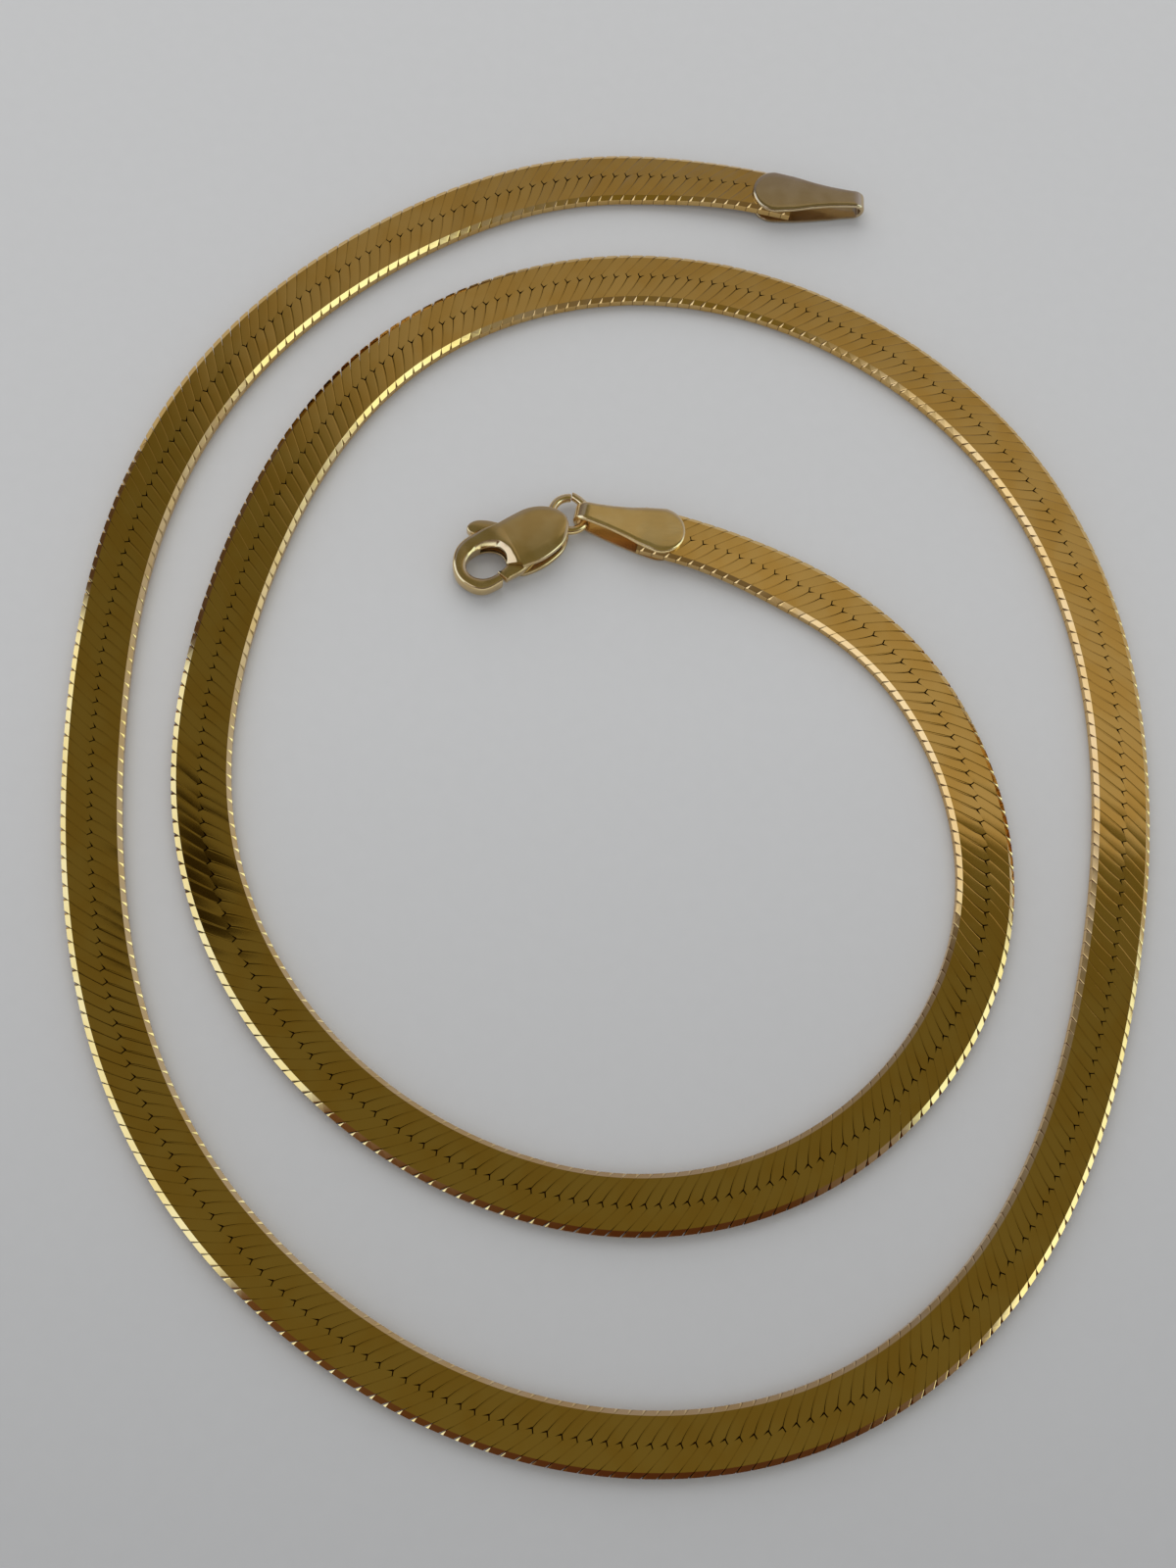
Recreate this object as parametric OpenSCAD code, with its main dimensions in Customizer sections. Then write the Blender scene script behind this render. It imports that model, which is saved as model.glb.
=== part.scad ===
// Herringbone neck chain, laid open in a loose spiral of nearly two turns.
// A flat woven band carries a folded end tab at each end. The inner tab holds a
// jump ring and a lobster clasp, and the outer tab is the eye the clasp hooks into.
// Millimetres, Z up. The chain rests on the plane Z = 0.

/* [Layout] */
// Length of the laid-out spiral from its nearest to its farthest edge
spiral_l = 96; // [90:1:110]

/* [Woven band] */
// Width of the woven band across its two edges
band_w = 4; // [3.6:0.1:4.6]
// Width to which the band is drawn in inside its end tabs
band_end_w = 3.5; // [3.2:0.1:3.8]
// Thickness of the woven band
band_t = 1; // [0.8:0.05:1.2]
// Plan width of the bevel along each edge of the band
bevel_w = 0.4; // [0.2:0.02:0.6]
// Height of the bevel along each edge of the band
bevel_h = 0.3; // [0.2:0.01:0.38]

/* [End tabs] */
// Thickness of the sheet that the end tabs are folded from
leaf_t = 0.33; // [0.25:0.01:0.4]
// Width of a tab's round end
tab_w = 3.5; // [2.8:0.1:3.8]
// Width of the folded strip at its eye
fold_w = 1.2; // [1.1:0.1:1.8]
// Length of the tab's round end that covers the band
tab_cover = 3.2; // [2.6:0.1:3.8]
// Solder gap between the band and each leaf
solder_gap = 0.05; // [0.03:0.01:0.08]
// Length of the clasp tab from round end to eye
clasp_tab_l = 8.1; // [7:0.1:9]
// Outside height of the clasp tab's eye
clasp_fold_h = 2; // [1.85:0.05:2.4]
// Length of the tail tab from round end to eye
tail_tab_l = 8.8; // [7.5:0.1:9.5]
// Outside height of the tail tab's eye
tail_fold_h = 1.8; // [1.7:0.05:2.2]
// Angle by which the tail tab sits askew on the band
tail_skew = 8; // [0:1:12]

/* [Jump ring] */
// Outside diameter of the jump ring
ring_d = 3.15; // [3:0.05:3.5]
// Diameter of the jump ring's wire
ring_wire = 0.58; // [0.5:0.02:0.66]
// Width of the split in the jump ring
ring_split = 0.05; // [0.03:0.01:0.1]
// Free play between the ring and what it passes through
ring_play = 0.08; // [0.05:0.01:0.1]

/* [Clasp] */
// Length of the lobster clasp from tail to hook
clasp_l = 8.9; // [8:0.1:10]
// Width of the lobster clasp across its plates
clasp_w = 4.65; // [4:0.05:5]
// Thickness of the clasp over both plates
clasp_t = 1.9; // [1.75:0.05:2.2]
// Thickness of each plate of the clasp
plate_t = 0.5; // [0.42:0.02:0.54]
// Height of the hook's underside above the clasp's underside
hook_lift = 0.3; // [0.2:0.02:0.4]
// Depth of the step from the top plate down to the hook
hook_step = 0.35; // [0.2:0.02:0.42]
// Radius of the rounding along the plates' edges
plate_round = 0.26; // [0.15:0.01:0.35]
// Radius of the rounding along the hook's edges
hook_round = 0.4; // [0.25:0.01:0.45]
// Depth to which the ring's wire lies inside the clasp's tail
ring_bite = 0.72; // [0.7:0.02:0.9]
// Heading of the clasp, turned from the heading of its tab
clasp_swing = 39; // [30:1:50]

/* [Lever] */
// Diameter of the pin that the lever turns on
pin_d = 0.8; // [0.6:0.02:1]
// Running clearance around the pin in the lever
pin_run = 0.05; // [0.03:0.01:0.08]
// Seating clearance around the pin in the plates
pin_seat = 0.01; // [0.01:0.01:0.02]
// Play between the lever and each plate
lever_play = 0.06; // [0.04:0.01:0.1]
// Gap between the lever's gate and the tip of the hook
gate_gap = 0.1; // [0.06:0.01:0.15]

/* [Hidden] */
gold = [0.80, 0.64, 0.30];
polished_gold = [0.86, 0.71, 0.42];
woven_gold = [0.66, 0.52, 0.20];
$fn = 48;

// Length of the spiral for which the guide points are drawn
drawn_l = 96;
// Guide points of the band's middle line in plan, from the clasp end outwards
band_route = [
    [1.5, 16], [8, 14.5], [22, 7.5], [27.5, -12.5], [15.5, -29.5], [-3, -33.5], [-21, -24.5],
    [-30, -8], [-28, 10.5], [-19, 30.5], [0, 39], [18.5, 34.5], [32.5, 21], [36.5, 2.5],
    [33.5, -17], [26.5, -35], [12, -46.5], [-8.5, -46.5], [-26, -35], [-35, -19], [-36.5, 1.5],
    [-34.5, 18], [-26, 33.5], [-7, 46], [6.5, 46], [14, 44.5]
];
// Cross-sections of the band between one guide point and the next
span_steps = 8;
// Length over which each end of the band widens and comes down from its tab to the table
lift_run = 10;
// Points between two rows of an outline table
outline_steps = 4;
// Points around the eye that the other end hooks into
eye_steps = 48;
// Levels in the rounding of an edge
round_levels = 4;
// Flats around the fold of a tab
fold_steps = 24;
// Extra reach of a cutting shape past what it cuts
cut_past = 1;

// The route runs smoothly beside its guide points and meets the first and the last
route_last = len(band_route) - 1;
laid_route = band_route * (spiral_l / drawn_l);
route_guides = concat(
    [2 * laid_route[0] - laid_route[1]],
    laid_route,
    [2 * laid_route[route_last] - laid_route[route_last - 1]]
);
ring_count = route_last * span_steps;

function spline_at(g, i, f) =
    (pow(1 - f, 3) * g[i] + (3 * pow(f, 3) - 6 * pow(f, 2) + 4) * g[i + 1]
    + (-3 * pow(f, 3) + 3 * pow(f, 2) + 3 * f + 1) * g[i + 2] + pow(f, 3) * g[i + 3]) / 6;

function spline_slope(g, i, f) =
    (-pow(1 - f, 2) * g[i] + (3 * pow(f, 2) - 4 * f) * g[i + 1]
    + (-3 * pow(f, 2) + 2 * f + 1) * g[i + 2] + pow(f, 2) * g[i + 3]) / 2;

function span_of(k) = min(floor(k / span_steps), route_last - 1);
function unit(v) = v / norm(v);
function left_of(v) = [-v.y, v.x];
function heading(v) = atan2(v.y, v.x);

function share_of(k) = k / span_steps - span_of(k);
centre_line = [for (k = [0:ring_count]) spline_at(route_guides, span_of(k), share_of(k))];
travel = [for (k = [0:ring_count]) unit(spline_slope(route_guides, span_of(k), share_of(k)))];
function step_after(k) = k < ring_count ? norm(centre_line[k + 1] - centre_line[k]) : 0;
run_length = [for (k = 0, run = 0; k <= ring_count; run = run + step_after(k), k = k + 1) run];

// The band lies on the table, and both its ends climb onto the lower leaf of a tab
end_lift = leaf_t + solder_gap;
function ease(f) = f * f * (3 - 2 * f);
function down_from_tab(d) = 1 - ease(min(1, max(0, (d - tab_cover) / lift_run)));
function near_tab(k) = down_from_tab(min(run_length[k], run_length[ring_count] - run_length[k]));

// Cross-section of the band: side of travel, plan width of the bevel there, height
band_section = [
    [1, 0, bevel_h],
    [1, 0, band_t - bevel_h],
    [1, bevel_w, band_t],
    [-1, bevel_w, band_t],
    [-1, 0, band_t - bevel_h],
    [-1, 0, bevel_h],
    [-1, bevel_w, 0],
    [1, bevel_w, 0]
];

function half_width(k) = band_w / 2 + (band_end_w - band_w) / 2 * near_tab(k);
function band_point(k, p) =
    let (at = centre_line[k] + p[0] * (half_width(k) - p[1]) * left_of(travel[k]))
    [at.x, at.y, end_lift * near_tab(k) + p[2]];

// The origin is the middle of the laid-out band's bounding box, on the table
edge_points = [for (k = [0:ring_count], s = [-1, 1]) band_point(k, [s, 0, 0])];
edge_x = [for (p = edge_points) p.x];
edge_y = [for (p = edge_points) p.y];
layout_centre = [(min(edge_x) + max(edge_x)) / 2, (min(edge_y) + max(edge_y)) / 2, 0];

// Clasp tab, jump ring and clasp follow from the band's inner end
tab_heading = heading(-travel[0]);
tab_way = [cos(tab_heading), sin(tab_heading)];
ring_r = (ring_d - ring_wire) / 2;
ring_aside = 0.08;
ring_hole_r = ring_d / 2 - ring_wire;
ring_bow = ring_hole_r - sqrt(pow(ring_hole_r, 2) - pow(fold_w / 2 + ring_aside, 2));
ring_reach = clasp_tab_l - leaf_t - ring_wire / 2 - ring_play - ring_bow + ring_r - tab_cover;
ring_centre = laid_route[0] + ring_reach * tab_way + ring_aside * left_of(tab_way);
ring_z = plate_t + ring_wire / 2 + ring_play / 2;
split_angle = 84;
clasp_heading = tab_heading + clasp_swing;

// Places on the clasp are shares of its length from the tail, and of its width from the axis,
// positive towards the mouth
function on_clasp(p) = [p[0] * clasp_l, p[1] * clasp_w];
ring_on_clasp = [ring_bite - ring_r, -0.17 * clasp_w];
pin_on_clasp = on_clasp([0.28, 0]);
eye_on_clasp = on_clasp([0.75, 0.08]);
eye_half = on_clasp([0.17, 0.25]);
gate_reach = 0.45 * clasp_l;
slot_h = clasp_t - 2 * plate_t;
hook_top = clasp_t - hook_step;
mouth_from = 14;
mouth_to = 75;

// Outline of the two plates: along, across
plate_rows = [
    [0, -0.05], [0.03, -0.22], [0.12, -0.37], [0.25, -0.45], [0.4, -0.44], [0.54, -0.41], [0.68, -0.4],
    [0.76, -0.39], [0.77, -0.31], [0.7, -0.28], [0.63, -0.25], [0.58, -0.16], [0.55, 0], [0.54, 0.16],
    [0.54, 0.3], [0.49, 0.4], [0.35, 0.41], [0.23, 0.37], [0.11, 0.28], [0.03, 0.12]
];
// Outline of the hook: along, across
hook_rows = [
    [0.44, -0.36], [0.55, -0.39], [0.69, -0.43], [0.81, -0.41], [0.92, -0.3], [0.99, -0.1], [1, 0.14],
    [0.95, 0.36], [0.86, 0.48], [0.73, 0.48], [0.6, 0.44], [0.46, 0.4], [0.41, 0.27], [0.4, 0], [0.41, -0.22]
];
// Outline of the room between the plates: along, across
slot_rows = [
    [0.14, -0.33], [0.3, -0.35], [0.32, -0.72], [0.73, -0.72], [0.73, -0.22], [0.64, 0.07],
    [0.64, 0.72], [0.1, 0.72], [0.13, 0.04]
];
// Outline of the lever, from its hub out to the thumb piece and back along the gate: along, across
lever_rows = [
    [0.2, 0], [0.23, -0.13], [0.33, -0.24], [0.44, -0.35], [0.52, -0.43], [0.58, -0.51], [0.65, -0.57],
    [0.71, -0.57], [0.74, -0.52], [0.73, -0.45], [0.68, -0.37], [0.63, -0.28], [0.56, -0.16], [0.52, 0.02],
    [0.55, 0.16], [0.59, 0.22], [0.65, 0.27], [0.73, 0.31], [0.77, 0.4], [0.71, 0.46], [0.61, 0.44],
    [0.51, 0.42], [0.42, 0.36], [0.33, 0.27], [0.24, 0.15]
];

// Flanks of a tab's two leaves: share of its length, share of the swell from eye to round end
upper_rows = [[0.38, 0.72], [0.52, 0.38], [0.68, 0.12], [0.84, 0], [1, 0]];
lower_rows = [[0.38, 0.88], [0.55, 0.66], [0.7, 0.44], [0.84, 0.16], [1, 0.05]];

// A closed smooth outline through the rows of a table
function loop_at(p, i, f) =
    let (n = len(p), a = p[(i + n - 1) % n], b = p[i], c = p[(i + 1) % n], d = p[(i + 2) % n])
    (2 * b + (c - a) * f + (2 * a - 5 * b + 4 * c - d) * f * f + (3 * b - a - 3 * c + d) * f * f * f) / 2;

function smooth_outline(rows) =
    let (p = [for (r = rows) on_clasp(r)])
    [for (i = [0:len(p) - 1], k = [0:outline_steps - 1]) loop_at(p, i, k / outline_steps)];

function drawn_in(outline, d) =
    let (n = len(outline))
    [for (i = [0:n - 1]) outline[i] + d * left_of(unit(outline[(i + 1) % n] - outline[(i + n - 1) % n]))];

// Levels of a rounded edge: how far the outline is drawn in, and the height
function round_angle(k) = 90 * k / round_levels;
function round_rows(z0, z1, r) = concat(
    [for (k = [0:round_levels]) [r * (1 - sin(round_angle(k))), z0 + r * (1 - cos(round_angle(k)))]],
    [for (k = [round_levels:-1:0]) [r * (1 - sin(round_angle(k))), z1 - r * (1 - cos(round_angle(k)))]]
);

// A closed skin over rings of as many points each, the last ring above or ahead of the first
module skin(rings) {
    n = len(rings[0]);
    last = (len(rings) - 1) * n;
    polyhedron(
        points = [for (ring = rings, p = ring) p],
        faces = concat(
            [[for (i = [0:n - 1]) i]],
            [for (j = [0:len(rings) - 2], i = [0:n - 1])
                [j * n + i, (j + 1) * n + i, (j + 1) * n + (i + 1) % n, j * n + (i + 1) % n]],
            [[for (i = [n - 1:-1:0]) last + i]]
        )
    );
}

// A slab with rounded edges, standing on an outline
module rounded_slab(outline, z0, z1, r) {
    skin([for (row = round_rows(z0, z1, r)) [for (p = drawn_in(outline, row[0])) [p.x, p.y, row[1]]]]);
}

// Side view of the strip that folds up from the lower leaf, round the eye and down onto the band
module folded_strip(tab_l, fold_h) {
    eye_r = fold_h / 2;
    eye = [tab_l - eye_r, eye_r];
    upper_z = 2 * leaf_t + 2 * solder_gap + band_t;
    run = eye - [tab_cover, upper_z];
    slope = heading(run) + asin(eye_r / norm(run));
    way_round = [for (i = [0:fold_steps]) let (a = (180 + slope) * i / fold_steps - 90) [cos(a), sin(a)]];
    polygon(concat(
        [[eye.x - leaf_t, 0]],
        [for (w = way_round) eye + eye_r * w],
        [[tab_cover, upper_z], [0, upper_z], [0, upper_z - leaf_t], [tab_cover, upper_z - leaf_t]],
        [for (i = [fold_steps:-1:0]) eye + (eye_r - leaf_t) * way_round[i]],
        [[eye.x - leaf_t, leaf_t]]
    ));
}

// Plan of a leaf: a round end whose flanks draw in to the narrow strip at the eye
module leaf_plan(tab_l, flank_rows) {
    r = tab_w / 2;
    swell = (tab_w - fold_w) / 2;
    rows = concat([[r / tab_l, 1]], flank_rows);
    n = len(rows);
    edge = [for (row = rows) [row[0] * tab_l, fold_w / 2 + row[1] * swell]];
    guides = concat([2 * edge[0] - edge[1]], edge, [2 * edge[n - 1] - edge[n - 2]]);
    flank = [for (i = [0:n - 2], k = [0:outline_steps - 1]) loop_at(guides, i + 1, k / outline_steps)];
    side = concat(flank, [edge[n - 1]]);
    translate([r, 0]) circle(r = r);
    polygon(concat(side, [for (i = [len(side) - 1:-1:0]) [side[i].x, -side[i].y]]));
}

// A folded tab, heading along X, with the band's end face on the Y-Z plane
module folded_tab(tab_l, fold_h) {
    translate([-tab_cover, 0, 0]) {
        linear_extrude(leaf_t) intersection() {
            leaf_plan(tab_l, lower_rows);
            square([2 * (tab_l - fold_h / 2), tab_w], center = true);
        }
        intersection() {
            rotate([90, 0, 0]) linear_extrude(tab_w + cut_past, center = true) folded_strip(tab_l, fold_h);
            linear_extrude(fold_h + cut_past) leaf_plan(tab_l, upper_rows);
        }
    }
}

// Everything is drawn where the laid-out chain has it, about the middle of its bounding box
module laid_out() {
    translate(-layout_centre) children();
}

module on_the_clasp() {
    laid_out() translate([ring_centre.x, ring_centre.y, 0]) rotate([0, 0, clasp_heading])
        translate([-ring_on_clasp.x, -ring_on_clasp.y, 0]) children();
}

module herringbone_band() {
    color(woven_gold)
    laid_out() skin([for (k = [0:ring_count]) [for (p = band_section) band_point(k, p)]]);
}

module clasp_tab() {
    color(polished_gold)
    laid_out() translate([laid_route[0].x, laid_route[0].y, 0]) rotate([0, 0, tab_heading])
        folded_tab(clasp_tab_l, clasp_fold_h);
}

module tail_tab() {
    color(polished_gold)
    laid_out() translate([laid_route[route_last].x, laid_route[route_last].y, 0])
        rotate([0, 0, heading(travel[ring_count]) + tail_skew]) folded_tab(tail_tab_l, tail_fold_h);
}

module jump_ring() {
    color(gold)
    laid_out() translate([ring_centre.x, ring_centre.y, ring_z]) difference() {
        rotate_extrude() translate([ring_r, 0]) circle(d = ring_wire);
        rotate([0, 0, split_angle]) translate([ring_r, 0, 0])
            cube([2 * ring_wire, ring_split, 2 * ring_wire], center = true);
    }
}

// The eye that the other end hooks into, as an outline drawn wide towards its rims
module eye_cut() {
    turns = [for (i = [0:eye_steps - 1]) 360 * i / eye_steps];
    rim = [for (a = turns) eye_on_clasp + [eye_half.x * cos(a), eye_half.y * sin(a)]];
    draw = [for (k = [0:round_levels]) -hook_round * (1 - cos(round_angle(k)))];
    past = [for (k = [0:round_levels]) k == round_levels ? cut_past : 0];
    rise = [for (k = [0:round_levels]) hook_round * sin(round_angle(k)) + past[k]];
    rows = concat(
        [for (k = [round_levels:-1:0]) [draw[k], hook_lift + hook_round - rise[k]]],
        [for (k = [0:round_levels]) [draw[k], hook_top - hook_round + rise[k]]]
    );
    skin([for (row = rows) [for (p = drawn_in(rim, row[0])) [p.x, p.y, row[1]]]]);
}

// The mouth of the hook, as far from the pin as the gate reaches
module mouth_cut(reach) {
    far = 2 * reach;
    translate([pin_on_clasp.x, pin_on_clasp.y, 0]) intersection() {
        cylinder(r = reach, h = clasp_t);
        linear_extrude(clasp_t) polygon([
            [0, 0],
            far * [cos(mouth_from), sin(mouth_from)],
            far * [cos(mouth_to), sin(mouth_to)]
        ]);
    }
}

module clasp_body() {
    color(polished_gold)
    on_the_clasp() difference() {
        union() {
            rounded_slab(smooth_outline(plate_rows), 0, clasp_t, plate_round);
            difference() {
                rounded_slab(smooth_outline(hook_rows), hook_lift, hook_top, hook_round);
                eye_cut();
                mouth_cut(gate_reach + gate_gap);
            }
        }
        translate([0, 0, plate_t]) linear_extrude(slot_h) polygon([for (r = slot_rows) on_clasp(r)]);
        translate([ring_on_clasp.x, ring_on_clasp.y, ring_z]) rotate_extrude()
            translate([ring_r, 0]) circle(r = ring_wire / 2 + ring_play);
        translate([pin_on_clasp.x, pin_on_clasp.y, -cut_past])
            cylinder(d = pin_d + 2 * pin_seat, h = clasp_t + 2 * cut_past);
    }
}

module clasp_pin() {
    color(gold)
    on_the_clasp() translate([pin_on_clasp.x, pin_on_clasp.y, 0]) cylinder(d = pin_d, h = clasp_t);
}

module clasp_lever() {
    color(polished_gold)
    on_the_clasp() difference() {
        translate([0, 0, plate_t + lever_play]) linear_extrude(slot_h - 2 * lever_play) difference() {
            polygon(smooth_outline(lever_rows));
            difference() {
                translate(pin_on_clasp) square([clasp_l, clasp_w]);
                translate(pin_on_clasp) circle(r = gate_reach);
            }
        }
        translate([pin_on_clasp.x, pin_on_clasp.y, 0]) cylinder(d = pin_d + 2 * pin_run, h = clasp_t);
    }
}

herringbone_band();
clasp_tab();
tail_tab();
jump_ring();
clasp_body();
clasp_pin();
clasp_lever();
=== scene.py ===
"""Herringbone neck chain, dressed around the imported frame.

The woven band is laid link by link along the route of the part's source, the tabs, the ring
and the clasp are finished as polished gold, and the chain lies on a plain pale table.
Places are in metres, in the frame's own axes. Sizes of the chain are in millimetres where a
name ends in _mm, and are brought to metres by MM.
"""
import logging
import math
import random
from collections.abc import Callable, Sequence
from dataclasses import dataclass
from enum import Enum

import bmesh
import bpy
import numpy as np
from mathutils import Matrix, Vector


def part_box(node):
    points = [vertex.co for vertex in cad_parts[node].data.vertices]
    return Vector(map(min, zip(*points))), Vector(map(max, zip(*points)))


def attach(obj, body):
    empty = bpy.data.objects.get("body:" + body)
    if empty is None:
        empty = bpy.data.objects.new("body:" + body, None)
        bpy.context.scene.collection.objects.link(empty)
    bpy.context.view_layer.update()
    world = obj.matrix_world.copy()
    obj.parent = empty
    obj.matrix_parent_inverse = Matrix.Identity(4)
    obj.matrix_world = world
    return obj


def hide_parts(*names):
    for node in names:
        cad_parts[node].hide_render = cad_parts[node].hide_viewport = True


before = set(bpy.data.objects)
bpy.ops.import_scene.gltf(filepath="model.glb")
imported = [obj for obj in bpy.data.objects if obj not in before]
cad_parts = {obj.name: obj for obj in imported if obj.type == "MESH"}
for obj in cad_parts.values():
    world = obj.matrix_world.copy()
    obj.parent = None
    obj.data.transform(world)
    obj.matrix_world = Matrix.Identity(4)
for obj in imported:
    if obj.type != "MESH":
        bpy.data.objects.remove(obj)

MM = 0.001
NECKLACE = "necklace"
LEVER = "lever"
MERGE = 1e-8
ON_EDGE = 1e-6

# Guide points of the band's middle line, from the clasp end outwards, as in the part's source
BAND_ROUTE = (
    (0.0015, 0.016), (0.008, 0.0145), (0.022, 0.0075), (0.0275, -0.0125), (0.0155, -0.0295),
    (-0.003, -0.0335), (-0.021, -0.0245), (-0.030, -0.008), (-0.028, 0.0105), (-0.019, 0.0305),
    (0.0, 0.039), (0.0185, 0.0345), (0.0325, 0.021), (0.0365, 0.0025), (0.0335, -0.017),
    (0.0265, -0.035), (0.012, -0.0465), (-0.0085, -0.0465), (-0.026, -0.035), (-0.035, -0.019),
    (-0.0365, 0.0015), (-0.0345, 0.018), (-0.026, 0.0335), (-0.007, 0.046), (0.0065, 0.046),
    (0.014, 0.0445),
)

log = logging.getLogger("herringbone_chain")


# Shader maths

class Tree:
    """A node tree that is built with Python expressions."""

    def __init__(self, tree: bpy.types.NodeTree) -> None:
        """Empties the tree and keeps it."""
        self.tree = tree
        tree.nodes.clear()

    def node(
        self,
        kind: str,
        settings: dict[str, object] | None = None,
        inputs: dict[str | int, object] | None = None,
    ) -> bpy.types.Node:
        """Adds one node.

        Args:
            kind: The node's type, without the word ShaderNode.
            settings: Properties of the node, set first. A ramp's stops go under "stops".
            inputs: Values, colours or links for its sockets, by name or number.

        Returns:
            The new node.
        """
        made = self.tree.nodes.new("ShaderNode" + kind)
        for name, value in (settings or {}).items():
            if name == "stops":
                self._stops(made.color_ramp, value)
            else:
                setattr(made, name, value)
        for name, value in (inputs or {}).items():
            self.feed(made.inputs[name], value)
        return made

    @staticmethod
    def _stops(ramp: bpy.types.ColorRamp, stops: Sequence[tuple[float, Sequence[float]]]) -> None:
        """Sets a ramp's stops.

        Args:
            ramp: The ramp.
            stops: Pairs of place and colour, in rising order.
        """
        while len(ramp.elements) > 1:
            ramp.elements.remove(ramp.elements[-1])
        ramp.elements[0].position = stops[0][0]
        ramp.elements[0].color = (*stops[0][1], 1.0)
        for place, colour in stops[1:]:
            ramp.elements.new(place).color = (*colour, 1.0)

    def feed(self, socket: bpy.types.NodeSocket, value: object) -> None:
        """Links a value to a socket, or sets the socket's constant.

        Args:
            socket: The input socket.
            value: A Number, a node's output socket, a number or a colour.
        """
        if isinstance(value, Number):
            value = value.socket
        if isinstance(value, bpy.types.NodeSocket):
            self.tree.links.new(value, socket)
        elif socket.type == "RGBA":
            socket.default_value = (*value, 1.0)
        else:
            socket.default_value = value

    def number(self, socket: bpy.types.NodeSocket) -> "Number":
        """Wraps an output socket so that Python arithmetic works on it."""
        return Number(self, socket)

    def mix(self, below: object, above: object, share: object) -> bpy.types.NodeSocket:
        """Mixes two colours.

        Args:
            below: Colour at share 0.
            above: Colour at share 1.
            share: How much of the second colour shows.

        Returns:
            The mixed colour's socket.
        """
        made = self.node("Mix", {"data_type": "RGBA"}, {0: share, 6: below, 7: above})
        return made.outputs[2]

    def scaled(self, colour: object, size: object) -> bpy.types.NodeSocket:
        """Multiplies a colour or vector by a number."""
        return self.node("VectorMath", {"operation": "SCALE"}, {0: colour, 3: size}).outputs[0]

    def surface(self, inputs: dict[str | int, object]) -> None:
        """Makes the material's surface of one Principled node with these inputs."""
        made = self.node("BsdfPrincipled", inputs=inputs)
        self.node("OutputMaterial", inputs={"Surface": made.outputs[0]})


def _operator(operation: str, swapped: bool = False) -> Callable[["Number", object], "Number"]:
    """Makes an operator of the Number class out of a Math operation.

    Args:
        operation: The Math node's operation.
        swapped: Whether the number itself is the second value.

    Returns:
        The operator.
    """
    def operator(own: "Number", other: object) -> "Number":
        """Adds the Math node and returns its result."""
        return own._math(operation, *((other, own) if swapped else (own, other)))
    return operator


class Number:
    """A number socket on which Python's operators add Math nodes."""

    def __init__(self, tree: Tree, socket: bpy.types.NodeSocket) -> None:
        """Keeps the tree and the socket."""
        self.tree = tree
        self.socket = socket

    def _math(self, operation: str, *values: object) -> "Number":
        """Adds one Math node over the values and returns its result."""
        made = self.tree.node("Math", {"operation": operation}, dict(enumerate(values)))
        return Number(self.tree, made.outputs[0])

    __add__ = _operator("ADD")
    __radd__ = _operator("ADD", swapped=True)
    __sub__ = _operator("SUBTRACT")
    __rsub__ = _operator("SUBTRACT", swapped=True)
    __mul__ = _operator("MULTIPLY")
    __rmul__ = _operator("MULTIPLY", swapped=True)
    __truediv__ = _operator("DIVIDE")

    def at_least(self, other: object) -> "Number":
        """The larger of the two."""
        return self._math("MAXIMUM", self, other)

    def without_sign(self) -> "Number":
        """The number without its sign."""
        return self._math("ABSOLUTE", self)

    def angle_from(self, across: object) -> "Number":
        """The angle, in radians, whose sine part is self and whose cosine part is across."""
        return self._math("ARCTAN2", self, across)

    def ramp(self, low: object, high: object, smooth: bool = True) -> "Number":
        """Rises from 0 at low to 1 at high.

        Args:
            low: Where the rise starts.
            high: Where it ends.
            smooth: Eases in and out if true.

        Returns:
            The share from 0 to 1.
        """
        kind = "SMOOTHSTEP" if smooth else "LINEAR"
        values = {"Value": self, "From Min": low, "From Max": high}
        made = self.tree.node("MapRange", {"interpolation_type": kind}, values)
        return Number(self.tree, made.outputs[0])


# Modelling helpers

def deselect_all() -> None:
    """Deselects every object and leaves edit mode."""
    if bpy.context.object and bpy.context.object.mode != "OBJECT":
        bpy.ops.object.mode_set(mode="OBJECT")
    bpy.ops.object.select_all(action="DESELECT")


def choose(piece: bpy.types.Object) -> None:
    """Makes a piece the only selected and the active object.

    Args:
        piece: The piece.
    """
    deselect_all()
    piece.select_set(True)
    bpy.context.view_layer.objects.active = piece


MeshPart = bmesh.types.BMVert | bmesh.types.BMEdge | bmesh.types.BMFace


class Part(Enum):
    """Kinds of parts of a mesh that can be selected."""

    POINT = "VERT"
    EDGE = "EDGE"
    FACE = "FACE"


def select(piece: bpy.types.Object, kind: Part, test: Callable[[MeshPart], bool]) -> None:
    """Selects the parts of one kind that pass a test, in edit mode.

    Args:
        piece: The object, in edit mode.
        kind: Whether points, edges or faces are meant.
        test: Says whether a part is selected.
    """
    bpy.ops.mesh.select_mode(type=kind.value)
    bpy.ops.mesh.select_all(action="DESELECT")
    mesh = bmesh.from_edit_mesh(piece.data)
    for part in {Part.POINT: mesh.verts, Part.EDGE: mesh.edges, Part.FACE: mesh.faces}[kind]:
        part.select_set(test(part))
    bmesh.update_edit_mesh(piece.data)


def named(piece: bpy.types.Object, name: str) -> bpy.types.Object:
    """Names a piece and its mesh."""
    piece.name = piece.data.name = name
    return piece


def face_outwards() -> None:
    """Turns all the faces of the piece in edit mode outwards."""
    bpy.ops.mesh.select_all(action="SELECT")
    bpy.ops.mesh.normals_make_consistent(inside=False)


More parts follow.
